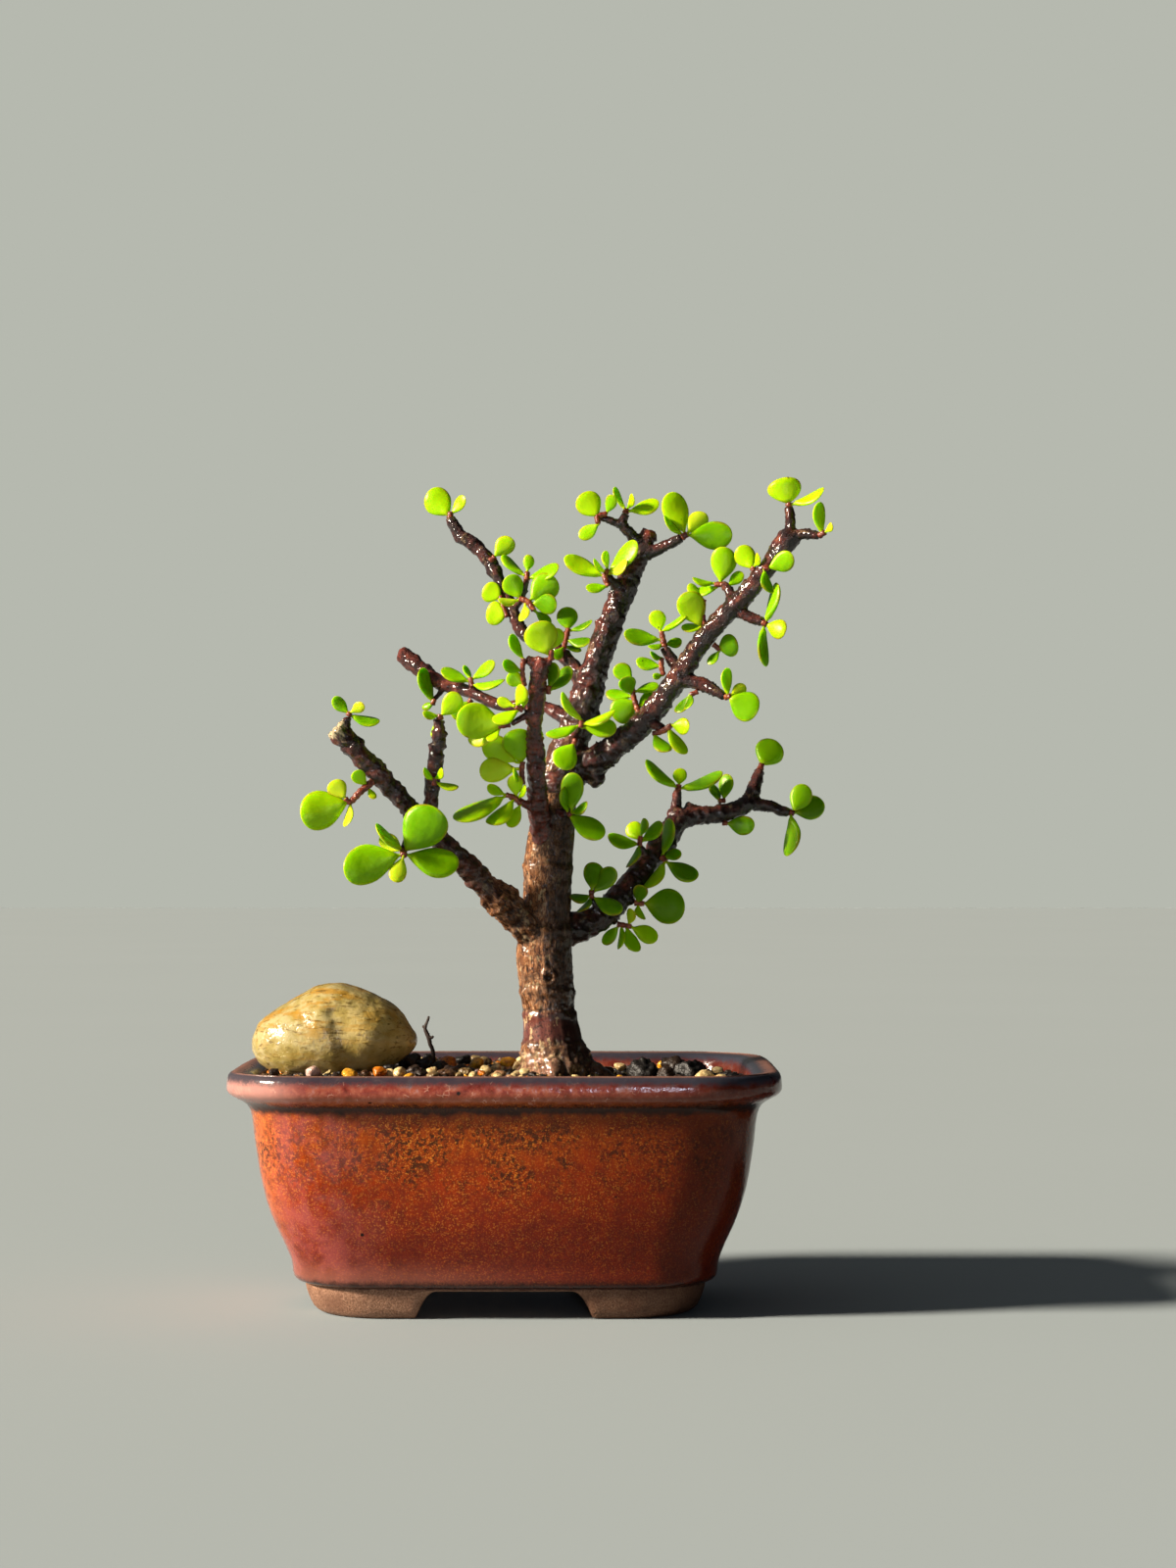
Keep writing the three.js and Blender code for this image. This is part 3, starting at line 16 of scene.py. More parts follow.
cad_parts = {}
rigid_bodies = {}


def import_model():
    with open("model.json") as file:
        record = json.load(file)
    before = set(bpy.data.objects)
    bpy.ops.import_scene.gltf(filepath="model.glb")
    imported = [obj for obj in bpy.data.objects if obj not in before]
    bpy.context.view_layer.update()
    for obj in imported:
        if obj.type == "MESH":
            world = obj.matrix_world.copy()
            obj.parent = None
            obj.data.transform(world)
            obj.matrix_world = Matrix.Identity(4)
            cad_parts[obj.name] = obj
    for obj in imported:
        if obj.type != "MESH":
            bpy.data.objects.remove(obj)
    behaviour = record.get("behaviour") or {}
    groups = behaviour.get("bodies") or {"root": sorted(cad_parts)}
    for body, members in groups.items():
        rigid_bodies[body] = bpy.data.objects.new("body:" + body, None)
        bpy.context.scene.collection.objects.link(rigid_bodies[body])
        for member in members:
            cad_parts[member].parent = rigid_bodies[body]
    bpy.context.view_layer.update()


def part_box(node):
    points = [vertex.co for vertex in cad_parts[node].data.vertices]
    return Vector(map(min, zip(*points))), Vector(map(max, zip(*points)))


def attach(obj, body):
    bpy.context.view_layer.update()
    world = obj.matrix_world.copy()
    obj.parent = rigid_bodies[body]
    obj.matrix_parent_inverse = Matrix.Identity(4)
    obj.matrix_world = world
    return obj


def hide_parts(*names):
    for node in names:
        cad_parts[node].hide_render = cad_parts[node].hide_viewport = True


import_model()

MM = 0.001
TABLE = -3.8
POT_LOW, POT_HIGH = (Vector(corner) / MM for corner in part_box("pot"))
PLACE = Vector((
    (POT_LOW.x + POT_HIGH.x) / 2,
    (POT_LOW.y + POT_HIGH.y) / 2,
    POT_LOW.z - TABLE,
))

# The front view's eye. The trunk's plane is y = 0, and the x and z in the tables below
# are read in it.
EYE = Vector((22.5, -800, 115.7))

# How each main branch leans to the back (+) or the front (-), for each millimetre away
# from its own foot: [foot x, foot z, lean].
LEANS = {
    "trunk": [0, 0, 0],
    "left": [5, 100, -0.22],
    "slender": [9, 127, -0.22],
    "upperLeft": [21, 169, 0.14],
    "farLeft": [17, 157, 0.34],
    "right": [19, 145, -0.2],
    "lowerRight": [16, 99, 0.28],
}


# Nodes. The same few kinds come again and again, so their long names are kept here, with
# the numbers of the sockets that a reader would otherwise have to look up.

NOISE = "ShaderNodeTexNoise"
CELLS = "ShaderNodeTexVoronoi"
RAMP = "ShaderNodeValToRGB"
MIX = "ShaderNodeMix"
MATH = "ShaderNodeMath"
RANGE = "ShaderNodeMapRange"
MAP = "ShaderNodeMapping"
SPLIT = "ShaderNodeSeparateXYZ"
BUMP = "ShaderNodeBump"
ATTRIBUTE = "ShaderNodeAttribute"

SHARE, LOW, HIGH = 0, 6, 7                      # of MIX, between colours
VALUE, FROM, TO, LEAST, MOST = 0, 1, 2, 3, 4    # of RANGE
COLOURS = {"data_type": "RGBA", "out": 2}       # of MIX
EASED = {"interpolation_type": "SMOOTHSTEP"}    # of RANGE, and the rest are of MATH
TIMES = {"operation": "MULTIPLY"}
TIMES_PLUS = {"operation": "MULTIPLY_ADD"}
LARGER = {"operation": "MAXIMUM"}


def feed(tree, socket, value):
    """Sets a socket to a value, or links another node's output to it."""
    if isinstance(value, bpy.types.NodeSocket):
        tree.links.new(value, socket)
    else:
        socket.default_value = value


def add_node(tree, kind, inputs=(), out=0, stops=(), **settings):
    """Adds a node with its settings, its inputs (a value or a link each) and its colour
    stops. Returns one of its outputs."""
    made = tree.nodes.new(kind)
    for field, value in settings.items():
        setattr(made, field, value)
    for socket, value in dict(inputs).items():
        feed(tree, made.inputs[socket], value)
    if stops:
        ramp = made.color_ramp.elements
        while len(ramp) < len(stops):
            ramp.new(1.0)
        for element, (position, shade) in zip(ramp, stops):
            element.position = position
            element.color = colour(shade)
    return made.outputs[out] if len(made.outputs) else None


def colour(hex_code):
    """An sRGB hex value as linear red, green, blue and alpha."""
    parts = [int(hex_code[i:i + 2], 16) / 255 for i in (1, 3, 5)]
    return (*[p / 12.92 if p <= 0.04045 else ((p + 0.055) / 1.055) ** 2.4 for p in parts], 1.0)


# Shapes

def place(x, z, depth, lean):
    """A point read in the trunk's plane, carried along its sight line to its own depth."""
    foot_x, foot_z, slope = lean
    scale = 1 - (depth + slope * math.hypot(x - foot_x, z - foot_z)) / EYE.y
    return EYE + (Vector((x, 0, z)) - EYE) * scale


def new_piece(name, points, faces, materials, smooth=True):
    """A mesh object from points in millimetres round the pot's middle."""
    mesh = bpy.data.meshes.new(name)
    mesh.from_pydata([(Vector(p) + PLACE) * MM for p in points], [], faces)
    mesh.polygons.foreach_set("use_smooth", [smooth] * len(mesh.polygons))
    for material in materials:
        mesh.materials.append(material)
    mesh.update()
    piece = bpy.data.objects.new(name, mesh)
    bpy.context.scene.collection.objects.link(piece)
    return piece


def unevenness(point, waves):
    """How far an uneven surface stands out at a point, in mm. Each of its waves is
    (how high, how many come to a mm)."""
    return sum(high * noise.noise(point * often) for high, often in waves)


def set_attribute(piece, name, values, kind="FLOAT"):
    """Keeps one value, or one vector, for each point of a piece."""
    layer = piece.data.attributes.new(name, kind, "POINT")
    field = "value" if kind == "FLOAT" else "vector"
    layer.data.foreach_set(field, np.asarray(values, dtype=np.float32).ravel())


def flattened(piece, name):
    """The piece as a plain mesh, once its modifiers have done their work."""
    depsgraph = bpy.context.evaluated_depsgraph_get()
    mesh = bpy.data.meshes.new_from_object(piece.evaluated_get(depsgraph), depsgraph=depsgraph)
    bpy.data.objects.remove(piece, do_unlink=True)
    mesh.name = name
    plain = bpy.data.objects.new(name, mesh)
    bpy.context.scene.collection.objects.link(plain)
    return plain


class Body:
    """Points and faces of one piece as they are put together."""

    def __init__(self):
        self.points = []
        self.faces = []
        self.slots = []

    def loft(self, rings, slot=0, start=None, end=None):
        """Joins rings of points. Each end closes in a fan, round the point given for it or
        round the middle of its ring."""
        count = len(rings[0])
        base = len(self.points)
        for ring in rings:
            self.points.extend(ring)
        for band in range(len(rings) - 1):
            for i in range(count):
                after = (i + 1) % count
                low, high = base + band * count, base + (band + 1) * count
                self.face((low + i, low + after, high + after, high + i), slot)
        for tip, ring, turned in ((start, 0, True), (end, len(rings) - 1, False)):
            first = base + ring * count
            if tip is None:
                tip = sum((Vector(p) for p in rings[ring]), Vector()) / count
            middle = len(self.points)
            self.points.append(tip)
            for i in range(count):
                after = (i + 1) % count
                pair = (first + after, first + i) if turned else (first + i, first + after)
                self.face((*pair, middle), slot)

    def face(self, corners, slot):
        self.faces.append(corners)
        self.slots.append(slot)

    def piece(self, name, materials, smooth=True):
        made = new_piece(name, self.points, self.faces, materials, smooth)
        made.data.polygons.foreach_set("material_index", self.slots)
        shell = bmesh.new()
        shell.from_mesh(made.data)
        bmesh.ops.recalc_face_normals(shell, faces=shell.faces)
        shell.to_mesh(made.data)
        shell.free()
        return made


def curve_weights(t):
    """How much each of four points in a row counts, at a share t of the way from the second
    to the third, on the smooth curve through them all."""
    return (
        -0.5 * t + t * t - 0.5 * t ** 3,
        1 - 2.5 * t * t + 1.5 * t ** 3,
        0.5 * t + 2 * t * t - 1.5 * t ** 3,
        -0.5 * t * t + 0.5 * t ** 3,
    )


def smooth_path(path, lean, step=1.4):
    """Path rows [x, z, width, depth] as a smooth line of (place, radius)."""
    rows = [(place(x, z, depth, lean), width / 2) for x, z, width, depth in path]
    rows = [(spot, radius * (1 - spot.y / EYE.y)) for spot, radius in rows]
    line = []
    last = len(rows) - 1
    for i in range(last):
        near = [rows[min(max(k, 0), last)] for k in range(i - 1, i + 3)]
        (start, radius), (end, end_radius) = near[1:3]
        parts = max(2, math.ceil((end - start).length / step))
        for k in range(parts):
            t = k / parts
            spot = sum((row[0] * w for row, w in zip(near, curve_weights(t))), Vector())
            line.append((spot, radius + t * (end_radius - radius)))
    line.append(rows[-1])
    return line


def frames_along(line):
    """At each point of a line: its direction and two sides that don't twist."""
    side = Vector((0, -1, 0))
    frames = []
    for i, (spot, _) in enumerate(line):
        along = (line[min(i + 1, len(line) - 1)][0] - line[max(i - 1, 0)][0]).normalized()
        side = (side - along * side.dot(along)).normalized()
        frames.append((along, side, along.cross(side)))
    return frames


def tube_rings(line, sides, extra=0.0):
    """A ring of points round each place of a line, `extra` mm wider than the line's radius."""
    rings = []
    for (spot, radius), (_, side, across) in zip(line, frames_along(line)):
        rings.append([
            spot + (side * math.cos(2 * math.pi * k / sides)
                    + across * math.sin(2 * math.pi * k / sides)) * (radius + extra)
            for k in range(sides)
        ])
    return rings


# The tree: the trunk, and then the limbs, through rows of [x, z, width, depth]. Each group of
# limbs starts with the branch in LEANS that it leans with.

TRUNK = [
  [16, 40, 6, 0], [15.6, 47, 12, 0], [15, 54, 18, 0], [14.2, 60, 20, 0], [13, 66, 17.5, 0],
  [12.4, 71, 16.4, 0], [11.6, 77, 14.4, 0], [11, 84, 15.2, 0], [10.3, 92, 15.8, 0],
  [10.5, 98, 15, 0], [10.9, 102, 13.4, 0], [11.2, 112, 13.5, 0], [11.5, 120, 13.4, 0],
  [12.8, 130, 12.5, 0], [14, 140, 11, 0.5], [16, 148, 10, 1], [19, 155, 9.5, 1.5],
  [22, 165, 9, 2], [24.5, 173, 7.5, 3], [28, 183, 7, 3.5], [31.8, 193, 6.5, 4],
  [34, 198, 6, 4.5], [36.5, 203, 5, 5], [38.5, 208, 4.6, 5.5], [39.6, 211.4, 3.6, 5.5],
]
LIMBS = [["trunk", [
  # roots that spread into the soil
  [[14, 65, 10, 0], [20, 62, 7.5, -1], [25.6, 59.5, 5, -2], [31, 56, 2.6, -3]],
  [[12, 64, 9, 0], [5, 60, 6, 2], [-1, 56, 3, 4]],
  [[14, 64, 9, -2], [13, 60, 6.5, -9], [12, 55, 3, -14]],
  [[14, 64, 9, 2], [17, 60, 6.5, 9], [20, 55, 3, 14]],
]], ["left", [
  # lower left branch
  [[9, 97, 8, -1.5], [3, 103, 8.6, -3.5], [-1, 107.5, 9, -5], [-6, 112, 6.6, -6.5],
    [-11, 117.5, 6.2, -8], [-16, 122, 5.8, -9], [-22, 128, 5.5, -10.5], [-27.5, 134, 5.3, -11.5],
    [-32, 139, 5.2, -12], [-36, 143.5, 5.9, -12.5], [-40, 147.5, 5.5, -13],
    [-44, 152, 5.6, -13.5], [-48, 156.2, 5.5, -14]],
  [[-45, 153.5, 2.6, -13.5], [-45, 157.5, 2.2, -13.5], [-44.4, 159.4, 1.9, -13.5]],
  [[-24, 130, 3, -11], [-27, 126, 2.5, -15], [-29, 122.4, 2.3, -18.4]],
  # upright on the lower left branch
  [[-21.5, 129, 4, -10], [-21.5, 134.5, 4, -10], [-20.8, 140, 3.9, -9.8], [-20.2, 145, 4.1, -9.2],
    [-19.6, 150, 4, -8.8], [-19.1, 155, 3.5, -8.4], [-18.8, 158.5, 2.9, -8]],
]], ["slender", [
  # slender stem in front
  [[11.6, 119, 5, -0.5], [9.9, 126.5, 6.4, -3.6], [8.8, 133, 5.8, -6.4], [8.2, 140, 5, -8.5],
    [7.8, 150, 4.9, -10.5], [7.6, 157, 4.1, -12], [7.5, 160, 5, -12.5], [8.3, 165, 4.5, -13.5],
    [8.5, 170, 4.7, -14.5], [9.2, 173.8, 4.3, -15.4], [9.6, 176, 2.6, -15.6]],
  [[8, 133, 2, -8], [4, 135.5, 2, -9.5], [0.6, 137.2, 1.6, -10.5]],
  [[7, 160, 2, -13], [4.6, 159.4, 1.8, -14], [1, 157.3, 1.5, -15]],
  [[8.5, 174, 3, -15], [5.4, 175.3, 2.6, -15.5]],
  [[9.5, 174, 3, -15.5], [12.2, 175, 2.4, -15.8]],
]], ["upperLeft", [
  # thin branch to the upper left, at the back
  [[22.5, 165.5, 4.6, 3], [21, 169, 4.5, 5], [16.5, 175.5, 4, 8], [10, 180, 3.8, 10],
    [5, 182.4, 3.7, 11], [3, 185, 3.5, 11.5], [1.1, 190, 3.1, 12], [-0.4, 193.4, 3.1, 12.5],
    [-2.2, 197.3, 3.6, 13], [-3.8, 200.6, 3.8, 13.5], [-6.2, 204.2, 3.6, 14],
    [-9.5, 207.5, 4, 14.5], [-13.1, 209.8, 3.6, 15], [-15.8, 214.8, 2.7, 16]],
  [[11.5, 178.8, 2.2, 9.5], [14.5, 181, 2, 9], [16.8, 182.8, 1.8, 8.5]],
  [[1.2, 189, 2.2, 12], [3.6, 191.8, 2, 10.5], [5.4, 197.4, 1.8, 9]],
]], ["farLeft", [
  # longer branch to the left, behind the slender stem
  [[20, 156.5, 4.4, 3], [12, 161.5, 3.2, 7], [6, 163, 3, 8.5], [0, 162.2, 3, 9.5],
    [-5, 163.8, 3.1, 10.5], [-9, 165.8, 3.2, 11], [-14, 167.5, 3.6, 12], [-19, 169, 3.9, 12.5],
    [-24, 172.5, 4.6, 13.5], [-29.4, 177, 4.8, 14]],
  [[-9, 165.5, 1.8, 11], [-9.8, 167.5, 1.6, 10], [-10.3, 169.3, 1.5, 9.5]],
  [[-18, 168, 1.8, 12], [-19, 165.6, 1.6, 11], [-20.4, 164.2, 1.5, 10]],
]], ["trunk", [
  # twigs near the leader's top
  [[32.5, 193.5, 3.6, 4], [30, 196.4, 2.8, 1.5], [27.2, 198.4, 2.1, 0]],
  [[38, 206.5, 3.4, 5.5], [34.4, 210.2, 3, 4], [32.1, 213, 2.6, 3], [32.9, 215.9, 2.2, 3]],
  [[32.3, 212.6, 2.2, 3.2], [29.5, 213.8, 2, 2.5], [25.9, 214.9, 1.8, 2]],
  [[37.2, 204, 3.4, 5], [43, 206.5, 3.1, 3], [48.6, 209.3, 2.6, 1]],
  [[39, 209, 2.8, 5.5], [41.6, 209.6, 2.6, 5.5]],
]], ["right", [
  # big branch to the right, coming forward
  [[13.5, 140.5, 9, 0], [19, 145, 9, -0.5], [25, 147.2, 8, -1.5], [30, 151, 7, -2.5],
    [35, 155, 6.5, -3.5], [40, 160, 6.3, -4.5], [44, 165, 6, -5], [47.5, 170, 6.1, -5.5],
    [50, 174, 5.5, -5.9], [54, 180, 5.4, -6.5], [58, 185, 5.3, -7], [62, 189, 5.5, -7.5],
    [66, 193, 5.4, -8], [70, 197.5, 5, -8.5], [73.6, 202.4, 4.9, -9.2], [76.6, 206.4, 6, -10],
    [78.6, 209.2, 6, -10], [80.4, 211.4, 4.2, -10]],
  [[22, 145, 6, -1], [24.9, 141.8, 4.8, -1.4], [26, 140.4, 2.6, -1.5]],
  [[79, 210, 3.2, -10], [79, 213.8, 2.9, -9.6], [78.4, 218, 2.3, -9]],
  [[79, 210, 3, -10], [83, 210.4, 2.7, -11], [87, 209.8, 2.1, -12.8]],
  [[63, 190, 3, -7.5], [62.2, 193.8, 2.7, -6], [60.4, 196.4, 2.2, -4.2]],
  [[69.6, 197, 2.2, -8.4], [68.6, 200, 1.9, -9]],
  [[63, 189.6, 3.4, -7.6], [67, 187.4, 3.1, -8.8], [71.2, 185.7, 2.4, -10]],
  [[57.6, 184.2, 2.6, -7], [55.4, 184.4, 2, -4.6]],
  [[49, 171, 3.6, -5.5], [46.6, 174, 3.1, -4], [43.9, 178.6, 2.4, -2.2]],
  [[47, 170.4, 4.4, -5.4], [52, 169, 3.8, -7], [56, 167.8, 3.4, -8], [60.6, 164.9, 2.2, -9.8]],
  [[36.5, 157.5, 3.6, -4], [40, 157.6, 3, -6], [43.3, 155.9, 2.4, -7.8]],
  [[36.5, 156.5, 2.2, -3.8], [36.7, 160.2, 1.9, -1.7]],
]], ["trunk", [
  # twigs on the trunk's front
  [[13, 132.6, 2.4, -4], [16.8, 132.2, 1.9, -7.6]],
  [[18.8, 154, 2.6, -2], [20, 156, 2.2, -7], [20.4, 157, 1.8, -9]],
]], ["lowerRight", [
  # lower right branch, going back
  [[11, 98, 8, 1], [16, 99.5, 8, 1.5], [21, 101, 8, 2.5], [26, 103.7, 7.5, 3.5],
    [30, 107.5, 7, 4.5], [34, 112, 6.8, 5.5], [38, 117, 6.5, 7], [41.5, 121, 6.3, 8],
    [45, 126, 6.3, 9], [48, 131.4, 6.4, 10], [48.6, 133.4, 4.6, 10]],
  [[46.6, 130, 5, 9.8], [51.6, 131.6, 5.1, 10], [57.5, 132.1, 4.9, 10.5], [62.9, 133.2, 4.8, 11],
    [67.2, 135.7, 4.4, 11.5], [69.4, 141.3, 3.4, 12], [70.5, 144.4, 2.6, 12]],
  [[66.4, 135, 3.8, 11.4], [72.6, 134.6, 3.2, 11], [76.4, 133.1, 2.9, 10.5],
    [78.7, 132.7, 2.4, 10]],
  [[47.4, 131, 3.2, 10], [47.1, 134.6, 2.8, 9.6], [47.6, 138.7, 2.2, 9]],
  [[50, 131.5, 3.2, 10], [51, 135.3, 2, 10]],
  [[40, 119, 2.6, 7], [38.4, 121.2, 2.2, 5], [36.8, 123.2, 1.8, 4]],
  [[40.6, 119.6, 2.6, 7.4], [43, 120.3, 1.9, 4.2]],
  [[24.6, 103.5, 2.2, 2.5], [25, 106, 1.9, 0], [23.5, 108.6, 1.6, -1.2]],
  [[32.4, 110, 2.6, 4.8], [35.2, 107.6, 1.8, 1.6]],
  [[27.6, 104.4, 2.6, 3.6], [30.4, 101.6, 1.8, 2.9]],
]]]

